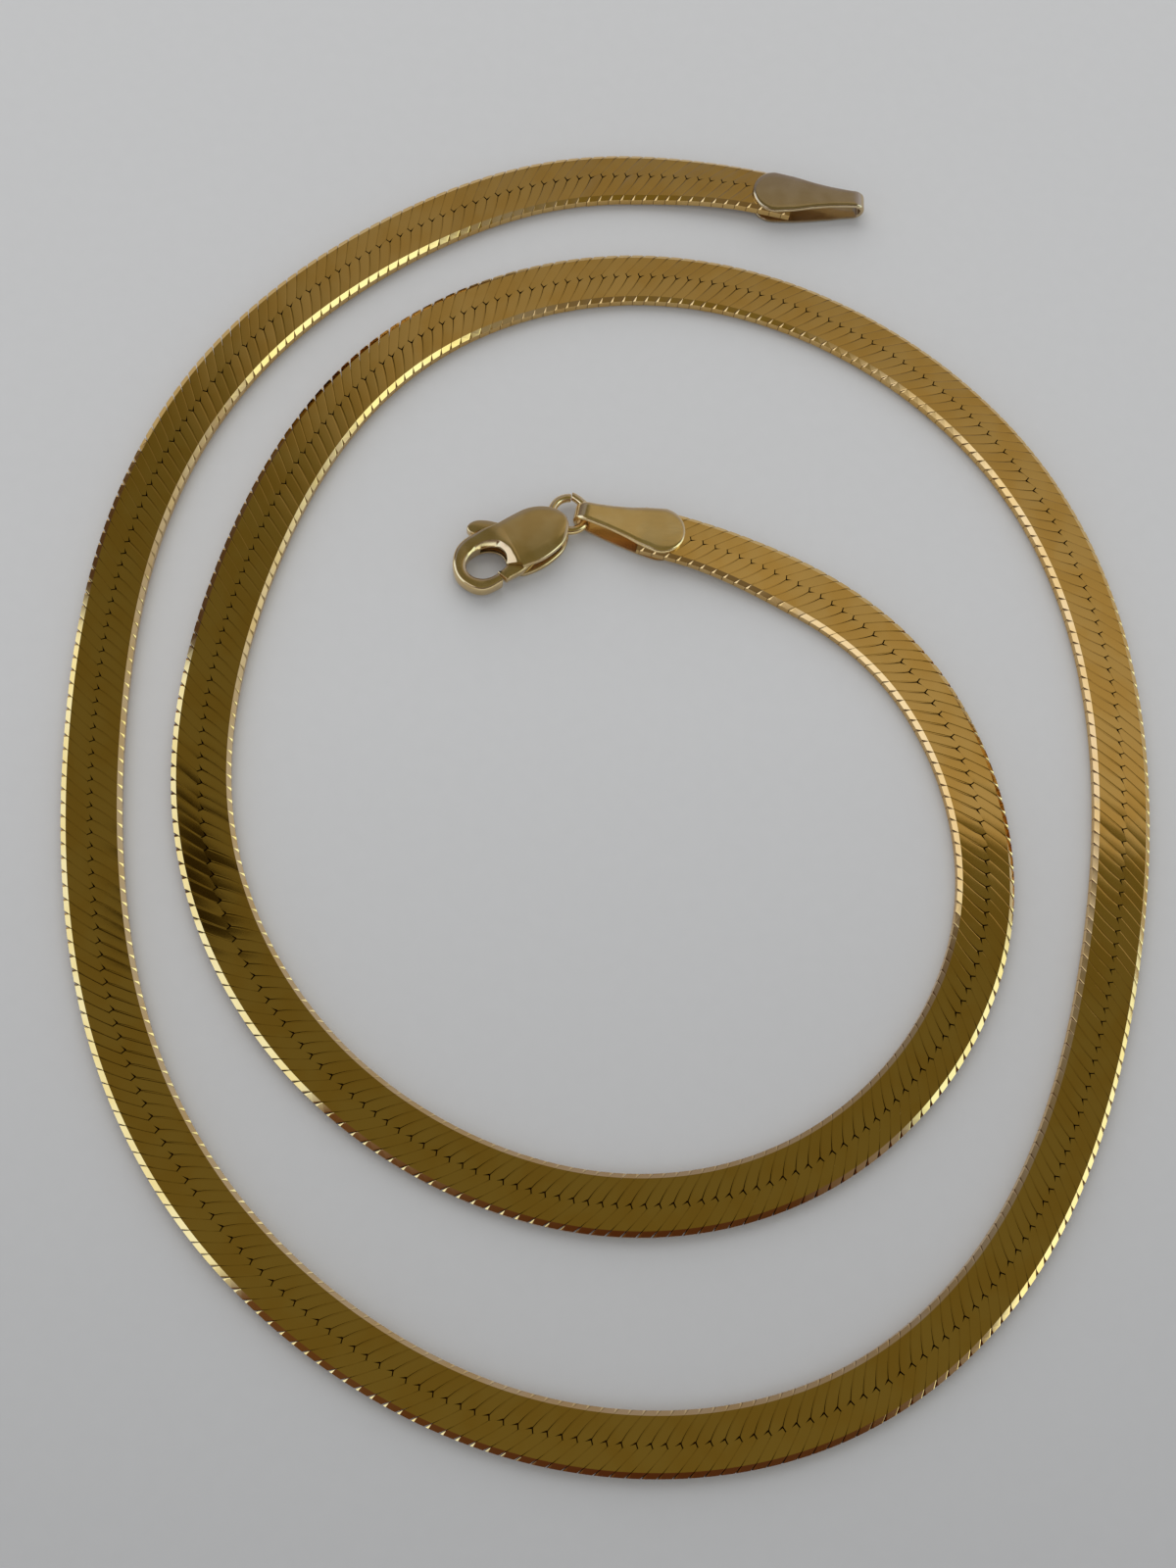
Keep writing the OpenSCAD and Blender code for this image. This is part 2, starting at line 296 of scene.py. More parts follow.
def plate_over(
    name: str,
    outline: Sequence[tuple[float, float]],
    low: float,
    high: float,
) -> bpy.types.Object:
    """A plate with straight walls over an outline, left in edit mode.

    Args:
        name: The object's name.
        outline: Points of the outline in metres, anticlockwise.
        low: Height of the underside.
        high: Height of the top.

    Returns:
        The plate's object.
    """
    deselect_all()
    bpy.ops.mesh.primitive_circle_add(vertices=len(outline), radius=MM, fill_type="NGON")
    piece = named(bpy.context.object, name)
    for point, (x, y) in zip(piece.data.vertices, outline):
        point.co = (x, y, low)
    bpy.ops.object.mode_set(mode="EDIT")
    bpy.ops.mesh.select_all(action="SELECT")
    bpy.ops.mesh.extrude_region_move(TRANSFORM_OT_translate={"value": (0.0, 0.0, high - low)})
    face_outwards()
    return piece


def joined(pieces: Sequence[bpy.types.Object], name: str) -> bpy.types.Object:
    """Joins pieces into one object.

    Args:
        pieces: The objects.
        name: Name of the joined object.

    Returns:
        The joined object, with its place in its mesh.
    """
    deselect_all()
    for piece in pieces:
        piece.select_set(True)
    bpy.context.view_layer.objects.active = pieces[0]
    bpy.ops.object.join()
    return named(bpy.context.object, name)


def lofted(name: str, rings: np.ndarray) -> bpy.types.Object:
    """A closed skin through rings of as many points each, capped at both ends.

    Args:
        name: The object's name.
        rings: Points in metres, as an array of rings by points by coordinates.

    Returns:
        The skin's object.
    """
    rows, around = rings.shape[:2]
    deselect_all()
    bpy.ops.mesh.primitive_grid_add(x_subdivisions=around, y_subdivisions=rows - 1, size=1.0)
    piece = named(bpy.context.object, name)
    for point in piece.data.vertices:
        turn = round((point.co.x + 0.5) * around) % around
        point.co = rings[round((point.co.y + 0.5) * (rows - 1)), turn]
    bpy.ops.object.mode_set(mode="EDIT")
    bpy.ops.mesh.select_all(action="SELECT")
    bpy.ops.mesh.remove_doubles(threshold=MERGE)
    bpy.ops.mesh.fill_holes(sides=0)
    face_outwards()
    bpy.ops.object.mode_set(mode="OBJECT")
    return piece


def rounded_corners(
    corners: Sequence[tuple[float, float]],
    radii: Sequence[float],
    steps: int = 4,
) -> np.ndarray:
    """Points of a polygon whose corners are rounded.

    Args:
        corners: The polygon's corners.
        radii: How far from each corner its rounding starts.
        steps: Points less one in each rounding.

    Returns:
        The rounded outline.
    """
    points = np.array(corners)
    share = np.linspace(0.0, 1.0, steps + 1)[:, None]
    arcs = []
    for i, radius in enumerate(radii):
        corner = points[i]
        ends = [points[i - 1] - corner, points[(i + 1) % len(points)] - corner]
        start, stop = (corner + radius * end / np.hypot(*end) for end in ends)
        arcs.append((1 - share) ** 2 * start + 2 * share * (1 - share) * corner + share**2 * stop)
    return np.vstack(arcs)


def smooth_loop(
    rows: Sequence[tuple[float, float]],
    scale: tuple[float, float],
    steps: int = 4,
) -> np.ndarray:
    """A closed smooth outline through the rows of a table.

    Args:
        rows: Rows of the table, as shares of the scale.
        scale: Sizes that the shares are of.
        steps: Points from one row to the next.

    Returns:
        The outline's points.
    """
    given = np.array(rows) * np.array(scale)
    f = np.linspace(0.0, 1.0, steps, endpoint=False)[None, :, None]
    before, start, stop, after = (np.roll(given, -k, axis=0)[:, None, :] for k in (-1, 0, 1, 2))
    bend = (2 * before - 5 * start + 4 * stop - after) * f**2
    bend = bend + (3 * start - before - 3 * stop + after) * f**3
    return ((2 * start + (stop - before) * f + bend) / 2).reshape(-1, 2)


def finished(
    piece: bpy.types.Object,
    finish: bpy.types.Material,
    smooth_to: float = 40.0,
) -> bpy.types.Object:
    """Gives a new piece its finish and smooth shading.

    Args:
        piece: The piece.
        finish: Its material.
        smooth_to: Angle between faces, in degrees, up to which the shading is smooth.

    Returns:
        The piece.
    """
    piece.data.materials.clear()
    piece.data.materials.append(finish)
    choose(piece)
    bpy.ops.object.shade_smooth_by_angle(angle=math.radians(smooth_to))
    return piece


def placed(piece: bpy.types.Object, at: Sequence[float], heading: float) -> bpy.types.Object:
    """Turns a piece's mesh by a heading and moves it to its place."""
    piece.data.transform(Matrix.Translation(Vector(at)) @ Matrix.Rotation(heading, 4, "Z"))
    return piece


# Finishes

def new_finish(name: str) -> tuple[bpy.types.Material, Tree]:
    """Makes an empty material.

    Args:
        name: The material's name.

    Returns:
        The material and its node tree.
    """
    made = bpy.data.materials.new(name)
    made.use_nodes = True
    return made, Tree(made.node_tree)


@dataclass(frozen=True)
class WovenGold:
    """Diamond-cut gold of the links, with fine cutting lines along each link, and painted shade darkening
    each link's ends beside the joints.
    """

    tone: tuple[float, float, float] = (0.83, 0.56, 0.215)
    worn_tone: tuple[float, float, float] = (0.80, 0.51, 0.165)
    # Painted shade: tone mixed in at each link's ends beside the joints
    rim_shade_tone: tuple[float, float, float] = (0.55, 0.32, 0.08)
    roughness: float = 0.03
    cut_angle: float = math.radians(-48.0)
    lines_per_mm: float = 9.0
    line_run_mm: float = 2.5
    line_depth_mm: float = 0.0002
    crown_mm: float = 0.0012
    rim_share: float = 0.09
    rim_drop_mm: float = 0.002

    def material(self) -> bpy.types.Material:
        """Builds the material.

        Returns:
            The material.
        """
        made, tree = new_finish("woven_gold")
        place = tree.node("UVMap", {"uv_map": "strip"}).outputs["UV"]
        on_link = tree.node("UVMap", {"uv_map": "link"}).outputs["UV"]
        from_middle = 2.0 * tree.number(tree.node("SeparateXYZ", inputs={0: on_link}).outputs[0]) - 1.0
        rim = from_middle.without_sign().ramp(1.0 - 2.0 * self.rim_share, 1.0)
        shrink = 1.0 / self.line_run_mm
        turned = tree.node(
            "Mapping",
            {"vector_type": "POINT"},
            {"Vector": place, "Rotation": (0.0, 0.0, self.cut_angle), "Scale": (shrink, shrink, 1.0)},
        ).outputs[0]
        stretched = tree.node(
            "Mapping",
            {"vector_type": "POINT"},
            {"Vector": turned, "Scale": (1.0, self.lines_per_mm * self.line_run_mm, 1.0)},
        ).outputs[0]
        flat = {"noise_dimensions": "2D"}
        lines = tree.number(tree.node("TexNoise", flat, {"Vector": stretched, "Detail": 3.0}).outputs[0])
        spread = {"Vector": place, "Scale": 0.35, "Detail": 2.0}
        patches = tree.number(tree.node("TexNoise", flat, spread).outputs[0])
        height = self.line_depth_mm * lines - self.crown_mm * from_middle * from_middle
        height = height - self.rim_drop_mm * rim
        bump = tree.node("Bump", inputs={"Strength": 1.0, "Distance": MM, "Height": height})
        worn = tree.mix(self.tone, self.worn_tone, patches.ramp(0.35, 0.7))
        # Painted shade: the rim tone darkens each link's ends beside the joints
        tree.surface({
            "Base Color": tree.mix(worn, self.rim_shade_tone, 0.3 * rim),
            "Metallic": 1.0,
            "Roughness": self.roughness + 0.03 * lines + 0.02 * patches,
            "Normal": bump.outputs[0],
        })
        return made


@dataclass(frozen=True)
class ShadedJointGold:
    """Gold deep in the joints between the links, painted dark as shade because they are short of light, and
    darker in random spots.
    """

    # Both tones are painted shade: the joint walls' darkness stands in for the light that the links keep
    # out
    tone: tuple[float, float, float] = (0.20, 0.075, 0.025)
    darker_spot_tone: tuple[float, float, float] = (0.09, 0.04, 0.02)
    roughness: float = 0.5

    def material(self) -> bpy.types.Material:
        """Builds the material.

        Returns:
            The material.
        """
        made, tree = new_finish("shaded_joint_gold")
        place = tree.node("TexCoord").outputs["Object"]
        spots = tree.number(tree.node("TexNoise", inputs={"Vector": place, "Scale": 1500.0}).outputs[0])
        # Painted shade: a dark tone on the joint walls, darker in random spots
        tree.surface({
            "Base Color": tree.mix(self.tone, self.darker_spot_tone, spots.ramp(0.4, 0.65)),
            "Metallic": 1.0,
            "Roughness": self.roughness,
        })
        return made


@dataclass(frozen=True)
class PolishedGold:
    """Polished cast or pressed gold with hairline scratches."""

    name: str = "polished_gold"
    tone: tuple[float, float, float] = (0.83, 0.60, 0.27)
    rubbed_tone: tuple[float, float, float] = (0.86, 0.65, 0.33)
    metallic: float = 0.94
    roughness: float = 0.13
    scratch_scale: float = 1400.0
    wave_scale: float = 700.0
    dimple_depth_mm: float = 0.004

    def material(self) -> bpy.types.Material:
        """Builds the material.

        Returns:
            The material.
        """
        made, tree = new_finish(self.name)
        place = tree.node("TexCoord").outputs["Object"]
        squeezed = tree.node(
            "Mapping",
            {"vector_type": "POINT"},
            {"Vector": place, "Rotation": (0.0, 0.0, 0.6), "Scale": (1.0, 9.0, 1.0)},
        ).outputs[0]
        fine = {"Vector": squeezed, "Scale": self.scratch_scale, "Detail": 4.0}
        scratches = tree.number(tree.node("TexNoise", inputs=fine).outputs[0])
        broad = {"Vector": place, "Scale": self.wave_scale, "Detail": 1.0}
        waves = tree.number(tree.node("TexNoise", inputs=broad).outputs[0])
        height = waves + 0.12 * scratches
        depth = self.dimple_depth_mm * MM
        bump = tree.node("Bump", inputs={"Strength": 0.5, "Distance": depth, "Height": height})
        tree.surface({
            "Base Color": tree.mix(self.tone, self.rubbed_tone, waves.ramp(0.4, 0.65)),
            "Metallic": self.metallic,
            "Roughness": self.roughness + 0.08 * scratches.ramp(0.45, 0.75),
            "Normal": bump.outputs[0],
        })
        return made


@dataclass(frozen=True)
class MattTable:
    """Smooth matt table top, a little darker towards the viewer: painted shade for the lamp's light falling
    off.
    """

    tone: tuple[float, float, float] = (0.618, 0.618, 0.618)
    front_shade_share: float = 0.81
    front_y: float = -0.055
    back_y: float = 0.003

    def material(self) -> bpy.types.Material:
        """Builds the material.

        Returns:
            The material.
        """
        made, tree = new_finish("matt_table")
        place = tree.node("TexCoord").outputs["Object"]
        spots = {"Vector": place, "Scale": 900.0, "Detail": 2.0}
        grain = tree.number(tree.node("TexNoise", inputs=spots).outputs[0])
        y = tree.number(tree.node("SeparateXYZ", inputs={0: place}).outputs[1])
        # Painted shade: the tone falls off towards the viewer as the lamp's light would
        front = tuple(self.front_shade_share * part for part in self.tone)
        tone = tree.mix(front, self.tone, y.ramp(self.front_y, self.back_y, smooth=False))
        tree.surface({
            "Base Color": tree.scaled(tone, 1.0 - 0.03 * grain),
            "Roughness": 0.9,
            "Specular IOR Level": 0.0,
        })
        return made


# The woven band

@dataclass(frozen=True)
class BandRoute:
    """Middle line of the band as a smooth curve beside its guide points."""

    guides: tuple[tuple[float, float], ...] = BAND_ROUTE
    span_samples: int = 96
    half_width: float = 2.0 * MM
    end_half_width: float = 1.75 * MM
    tab_cover: float = 3.2 * MM
    lift_run: float = 10.0 * MM
    end_lift: float = 0.38 * MM

    def __post_init__(self) -> None:
        """Works out the curve, its lengths, its left side and how sharply it turns."""
        given = np.array(self.guides)
        points = np.vstack([2 * given[0] - given[1], given, 2 * given[-1] - given[-2]])
        share = np.linspace(0.0, 1.0, self.span_samples, endpoint=False)[:, None]
        spans = [self._span(points[i:i + 4], share) for i in range(len(given) - 1)]
        spans.append(self._span(points[-4:], np.array([[1.0]])))
        middle = np.vstack(spans)
        steps = np.hypot(*np.diff(middle, axis=0).T)
        along = np.concatenate([[0.0], np.cumsum(steps)])
        way = np.gradient(middle, along, axis=0)
        way /= np.hypot(*way.T)[:, None]
        left = np.column_stack([-way[:, 1], way[:, 0]])
        turning = -np.gradient(np.unwrap(np.arctan2(way[:, 1], way[:, 0])), along)
        object.__setattr__(self, "along", along)
        object.__setattr__(self, "left", left)
        object.__setattr__(self, "turning", turning)
        half = self._half_width(along)[:, None]
        edges = np.vstack([middle + half * left, middle - half * left])
        object.__setattr__(self, "middle", middle - (edges.min(axis=0) + edges.max(axis=0)) / 2)

    @staticmethod
    def _span(guides: np.ndarray, share: np.ndarray) -> np.ndarray:
        """One span of a uniform cubic B-spline.

        Args:
            guides: The four guide points beside the span.
            share: Shares of the span, in a column.

        Returns:
            The points there.
        """
        f = share
        return (
            (1 - f) ** 3 * guides[0]
            + (3 * f**3 - 6 * f**2 + 4) * guides[1]
            + (-3 * f**3 + 3 * f**2 + 3 * f + 1) * guides[2]
            + f**3 * guides[3]
        ) / 6

    @property
    def length(self) -> float:
        """Length of the band."""
        return float(self.along[-1])

    def near_tab(self, s: np.ndarray) -> np.ndarray:
        """How far the band is drawn into an end tab.

        Args:
            s: Lengths along the band.

        Returns:
            Shares from 0 on the table to 1 inside the tab.
        """
        to_end = np.minimum(s, self.length - s)
        f = np.clip((to_end - self.tab_cover) / self.lift_run, 0.0, 1.0)
        return 1.0 - f * f * (3.0 - 2.0 * f)

    def _half_width(self, s: np.ndarray) -> np.ndarray:
        """Half the band's width at lengths along it."""
        return self.half_width + (self.end_half_width - self.half_width) * self.near_tab(s)

    def curvature(self, s: float) -> float:
        """How sharply the band turns at a length, per metre."""
        return float(np.interp(s, self.along, self.turning))

    def laid(self, s: np.ndarray, across: np.ndarray, up: np.ndarray) -> np.ndarray:
        """Brings points of the straight strip onto the laid band.

        Args:
            s: Lengths along the strip.
            across: Places across it, positive outwards, for a band of full width.
            up: Heights above the strip's underside.

        Returns:
            Points in the frame, one row each.
        """
        inside = np.clip(s, 0.0, self.length)
        near = self.near_tab(inside)
        narrowing = 1.0 + (self.end_half_width / self.half_width - 1.0) * near
        base = [np.interp(inside, self.along, self.middle[:, k]) for k in (0, 1)]
        side = [np.interp(inside, self.along, self.left[:, k]) for k in (0, 1)]
        reach = across * narrowing
        height = up + self.end_lift * near
        return np.column_stack([base[0] + reach * side[0], base[1] + reach * side[1], height])


class Row(Enum):
    """The two rows of links, by the side of the seam on which they lie."""

    INNER = "inner"
    OUTER = "outer"


@dataclass(frozen=True)
class Link:
    """One flat link of the weave, drawn in the straight strip with its stem at zero."""

    row: Row
    pitch: float
    half_width: float = 2.0 * MM
    thickness: float = 1.0 * MM
    inner_slope_w: float = 0.31 * MM
    outer_slope_w: float = 0.37 * MM
    slope_rate: float = 0.712
    peak: tuple[float, float] = (0.827 * MM, 0.27 * MM)
    nick: float = 0.088 * MM
    arm: float = 0.36 * MM
    inner_flare: float = 0.028 * MM
    outer_flare: float = 0.085 * MM
    flare_run: float = 0.8 * MM
    dent_along: float = 0.21 * MM
    dent_across: float = 0.30 * MM
    dent: float = 0.085 * MM
    outer_lean: float = 0.89
    stem_lean: float = 0.47
    stem_bow: float = 165.0
    stem_samples: int = 6
    stem_stop: float = 0.12 * MM
    point_run: float = 0.2 * MM

    @property
    def slope_w(self) -> float:
        """Width of the slope at the link's outer end."""
        return self.inner_slope_w if self.row is Row.INNER else self.outer_slope_w

    def boundary(self, v: np.ndarray | float) -> np.ndarray | float:
        """Where the link's near side lies.

        Args:
            v: Place or places across the strip.

        Returns:
            The places along the strip there.
        """
        if self.row is Row.INNER:
            return self.stem_lean * v - self.stem_bow * v * v
        return self.peak[0] - self.pitch + self.outer_lean * (v - self.peak[1])

    def outline(self) -> list[tuple[float, float]]:
        """Outline of the link, anticlockwise.

        Returns:
            Points (along, across) in metres.
        """
        tip_x, tip_y = self.peak
        if self.row is Row.OUTER:
            sides = (self.half_width, self.half_width - self.flare_run, 0.35 * self.half_width)
            near = [(self.boundary(v), v) for v in sides]
            far = [(x + self.pitch, v) for x, v in near]
            seam = [(tip_x - self.pitch, tip_y), (0.0, 0.004 * MM), (tip_x - 0.03 * MM, tip_y - 0.01 * MM)]
            return seam + [(tip_x, tip_y + 0.02 * MM)] + far[::-1] + near
        sides = np.linspace(-self.half_width, -self.stem_stop, self.stem_samples)
        near = [(float(self.boundary(v)), float(v)) for v in sides]
        far = [(x + self.pitch, v) for x, v in near]
        rise = tip_y / tip_x
        tip = [
            (self.pitch - 0.55 * self.nick, -0.5 * self.nick),
            (tip_x + 0.04 * MM - 0.7 * self.nick, 0.55 * tip_y),
            (tip_x - 0.6 * self.nick, tip_y - 0.4 * self.nick),
            (tip_x - self.point_run, rise * (tip_x - self.point_run)),
            (self.arm, rise * self.arm),
            (0.3 * self.arm, 0.1 * rise * self.arm - 0.6 * self.nick),
            (0.3 * self.nick, -1.2 * self.nick),
        ]
        return far + tip + near[::-1]

    def model(self, finishes: Sequence[bpy.types.Material]) -> bpy.types.Object:
        """Models the link once: a plate with both its outer slopes and chamfered corners on them.

        Args:
            finishes: The gold of its faces and the gold of its joint walls, painted dark as shade.

        Returns:
            The link's object, in the straight strip.
        """
        piece = plate_over(f"link_{self.row.value}", self.outline(), 0.0, self.thickness)
        for finish in finishes:
            piece.data.materials.append(finish)
        side = -1.0 if self.row is Row.INNER else 1.0
        crease = side * (self.half_width - self.slope_w)
        bpy.ops.mesh.select_all(action="SELECT")
        bpy.ops.mesh.bisect(plane_co=(0.0, crease, 0.0), plane_no=(0.0, 1.0, 0.0), threshold=MERGE)
        edge = self.half_width - ON_EDGE
        for low, high, lift in ((0.5, 2.0, -1.0), (-1.0, 0.5, 1.0)):
            span = (low * self.thickness, high * self.thickness)
            select(piece, Part.POINT, lambda p, z=span: side * p.co.y > edge and z[0] < p.co.z < z[1])
            bpy.ops.transform.translate(value=(0.0, 0.0, lift * self.slope_rate * self.slope_w))
        # The walls between the links take the second finish, painted dark as shade
        select(piece, Part.FACE, lambda f: abs(f.normal.z) < 0.3 and side * f.normal.y < 0.9)
        piece.active_material_index = 1
        bpy.ops.object.material_slot_assign()
        self._dent_corner(piece, side)
        bpy.ops.object.mode_set(mode="OBJECT")
        return piece

    def _dent_corner(self, piece: bpy.types.Object, side: float) -> None:
        """Presses down the slope's corner at which the wire turns over the edge.

        Args:
            piece: The link, in edit mode.
            side: -1 for an inner link, 1 for an outer one.
        """
        start = 0.0 if self.row is Row.INNER else self.pitch
        corner = Vector((self.boundary(side * self.half_width) + start, side * self.half_width, 0.0))
        inwards = self.half_width - self.dent_across
        back = Vector((self.boundary(side * inwards) + start, side * inwards, 0.0))
        on_edge = corner - side * Vector((self.dent_along, 0.0, 0.0))
        cut = (on_edge - back).cross(Vector((0.0, 0.0, 1.0)))
        top = 0.5 * self.thickness
        crease = self.half_width - self.slope_w - ON_EDGE
        select(piece, Part.FACE, lambda f: all(p.co.z > top and side * p.co.y > crease for p in f.verts))
        bpy.ops.mesh.bisect(plane_co=back, plane_no=cut, threshold=MERGE)
        select(piece, Part.POINT, lambda p: p.co.z > top and (p.co.xy - corner.xy).length < ON_EDGE)
        bpy.ops.transform.translate(value=(0.0, 0.0, -self.dent))


@dataclass
class WovenBand:
    """The band: two rows of links over a hidden core, laid along the route."""

    route: BandRoute
    finish: bpy.types.Material
    joint_shade_finish: bpy.types.Material
    wanted_pitch: float = 0.927 * MM
    tilt: float = 0.009
    drift: float = 0.003
    seed: int = 14
    least_gap: float = 0.003 * MM
    end_trim: float = 0.02 * MM
    least_piece: float = 0.1 * MM

    # Where across the band a bend starts to open the joints of a row, and how fast
    inner_opening: tuple[float, float] = (-1.3 * MM, 1.5)
    outer_opening: tuple[float, float] = (1.1 * MM, 1.6)
    core_half: float = 1.45 * MM
    core_low: float = 0.35 * MM
    core_high: float = 0.62 * MM

    @property
    def count(self) -> int:
        """Number of links in a row."""
        return round(self.route.length / self.wanted_pitch)

    @property
    def pitch(self) -> float:
        """Length of band for each link of a row."""
        return self.route.length / self.count

    def _gap(self, link: Link, s: float, v: np.ndarray) -> np.ndarray:
        """Gap between one link and the next: opened by the bend of the band, flared at the edge.

        Args:
            link: The link.
            s: Its length along the band.
            v: Places across the band.

        Returns:
            Widths of the gap there.
        """
        turn = max(0.0, self.route.curvature(s))
        inner = link.row is Row.INNER
        shut, rate = self.inner_opening if inner else self.outer_opening
        flare = link.inner_flare if inner else link.outer_flare
        near_edge = (-v if inner else v) - link.half_width + link.flare_run
        share = np.clip(near_edge / link.flare_run, 0.0, 1.0)
        bent = rate * self.pitch * turn * np.maximum(0.0, v - shut)
        return self.least_gap + bent + flare * share * share

    def _lay(self, link: Link, piece: bpy.types.Object, index: int, tilts: tuple[float, float]) -> None:
        """Lays a copy of a link on the route and gives it its place on the strip as its UV map.

        Args:
            link: The link.
            piece: The copy, still in the straight strip.
            index: Its number along the band.
            tilts: Slopes of its top, along and across.
        """
        mesh = piece.data
        points = np.empty(len(mesh.vertices) * 3)
        mesh.vertices.foreach_get("co", points)
        points = points.reshape(-1, 3)
        s = index * self.pitch
        u, v, z = points.T
        share = np.clip((u - link.boundary(v)) / self.pitch, 0.0, 1.0)
        u = u - (share - 0.5) * self._gap(link, s, v)
        z = z + tilts[0] * (u - u.mean()) + tilts[1] * (v - v.mean())
        mesh.vertices.foreach_set("co", self.route.laid(s + u, v, z).ravel())
        corner = np.empty(len(mesh.loops), dtype=int)
        mesh.loops.foreach_get("vertex_index", corner)
        strip = np.column_stack([(s + u)[corner], v[corner]]) / MM
        on_link = np.column_stack([share[corner], v[corner] / MM])
        for name, values in (("strip", strip), ("link", on_link)):
            layer = mesh.uv_layers.get(name) or mesh.uv_layers.new(name=name)
            layer.data.foreach_set("uv", values.astype(np.float32).ravel())
        mesh.update()

    def _cut_to_end(self, piece: bpy.types.Object, s: float) -> None:
        """Cuts a link in the straight strip off at the band's end.

        Args:
            piece: The copy of the link.
            s: Its length along the band.
        """
        choose(piece)
        bpy.ops.object.mode_set(mode="EDIT")
        for end, way in ((self.end_trim - s, -1.0), (self.route.length - self.end_trim - s, 1.0)):
            bpy.ops.mesh.select_all(action="SELECT")
            bpy.ops.mesh.bisect(
                plane_co=(end, 0.0, 0.0),
                plane_no=(way, 0.0, 0.0),
                use_fill=True,
                clear_outer=True,
                threshold=MERGE,
            )
        bpy.ops.object.mode_set(mode="OBJECT")

    def _tilts(self, chance: random.Random, s: float) -> tuple[float, float]:
        """Slopes of a link's top: a slow drift along the band and a play of its own.

        Args:
            chance: The source of the links' play.
            s: The link's length along the band.

        Returns:
            Slopes along and across.
        """
        slow = math.sin(s / (9.0 * MM)) + math.sin(s / (23.0 * MM) + 1.0)
        along = self.drift * 0.4 * slow + self.tilt * chance.gauss(0.0, 0.5)
        across = self.drift * 0.4 * math.sin(s / (15.0 * MM) + 2.0) + self.tilt * chance.gauss(0.0, 0.5)
        return along, across

    def core(self) -> bpy.types.Object:
        """Models the hidden core on which the links hang together.

        Returns:
            The core's object.
        """
        steps = 4 * self.count
        length = self.route.length
        inset = 0.05 * MM
        deselect_all()
        bpy.ops.mesh.primitive_grid_add(x_subdivisions=steps, y_subdivisions=1, size=1.0)
        piece = bpy.context.object
        piece.name = "core"
        bpy.ops.object.mode_set(mode="EDIT")
        bpy.ops.mesh.select_all(action="SELECT")
        bpy.ops.mesh.extrude_region_move(TRANSFORM_OT_translate={"value": (0.0, 0.0, 1.0)})
        face_outwards()
        bpy.ops.object.mode_set(mode="OBJECT")
        points = np.array([point.co for point in piece.data.vertices])
        s = inset + (points[:, 0] + 0.5) * (length - 2 * inset)
        v = 2 * points[:, 1] * self.core_half
        z = self.core_low + points[:, 2] * (self.core_high - self.core_low)
        piece.data.vertices.foreach_set("co", self.route.laid(s, v, z).ravel())
        piece.data.uv_layers.active.name = "strip"
        piece.data.uv_layers.new(name="link")
        piece.data.materials.append(self.joint_shade_finish)
        piece.data.update()
        return piece

    def build(self) -> bpy.types.Object:
        """Lays both rows of links over the core and joins them.

        Returns:
            The woven band.
        """
        chance = random.Random(self.seed)
        laid = [self.core()]
        for row in Row:
            link = Link(row, self.pitch)
            pattern = link.model((self.finish, self.joint_shade_finish))
            reach = [float(link.boundary(side * link.half_width)) for side in (-1.0, 0.0, 1.0)]
            low, high = min(reach), max(reach) + self.pitch
            for index in range(-3, self.count + 3):
                s = index * self.pitch
                if s + high < self.least_piece or s + low > self.route.length - self.least_piece:
                    continue
                piece = pattern.copy()
                piece.data = pattern.data.copy()
                bpy.context.collection.objects.link(piece)
                if s + low < 0.0 or s + high > self.route.length:
                    self._cut_to_end(piece, s)
                self._lay(link, piece, index, self._tilts(chance, s))
                laid.append(piece)
            bpy.data.objects.remove(pattern)
        band = joined(laid, "woven_band")
        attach(band, NECKLACE)
        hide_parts("herringbone_band")
        return band


# Tabs, ring and clasp

UPPER_LEAF = ((0.38, 0.78), (0.52, 0.50), (0.68, 0.27), (0.84, 0.12), (1.0, 0.06))
LOWER_LEAF = ((0.38, 0.88), (0.55, 0.66), (0.7, 0.44), (0.84, 0.18), (1.0, 0.08))


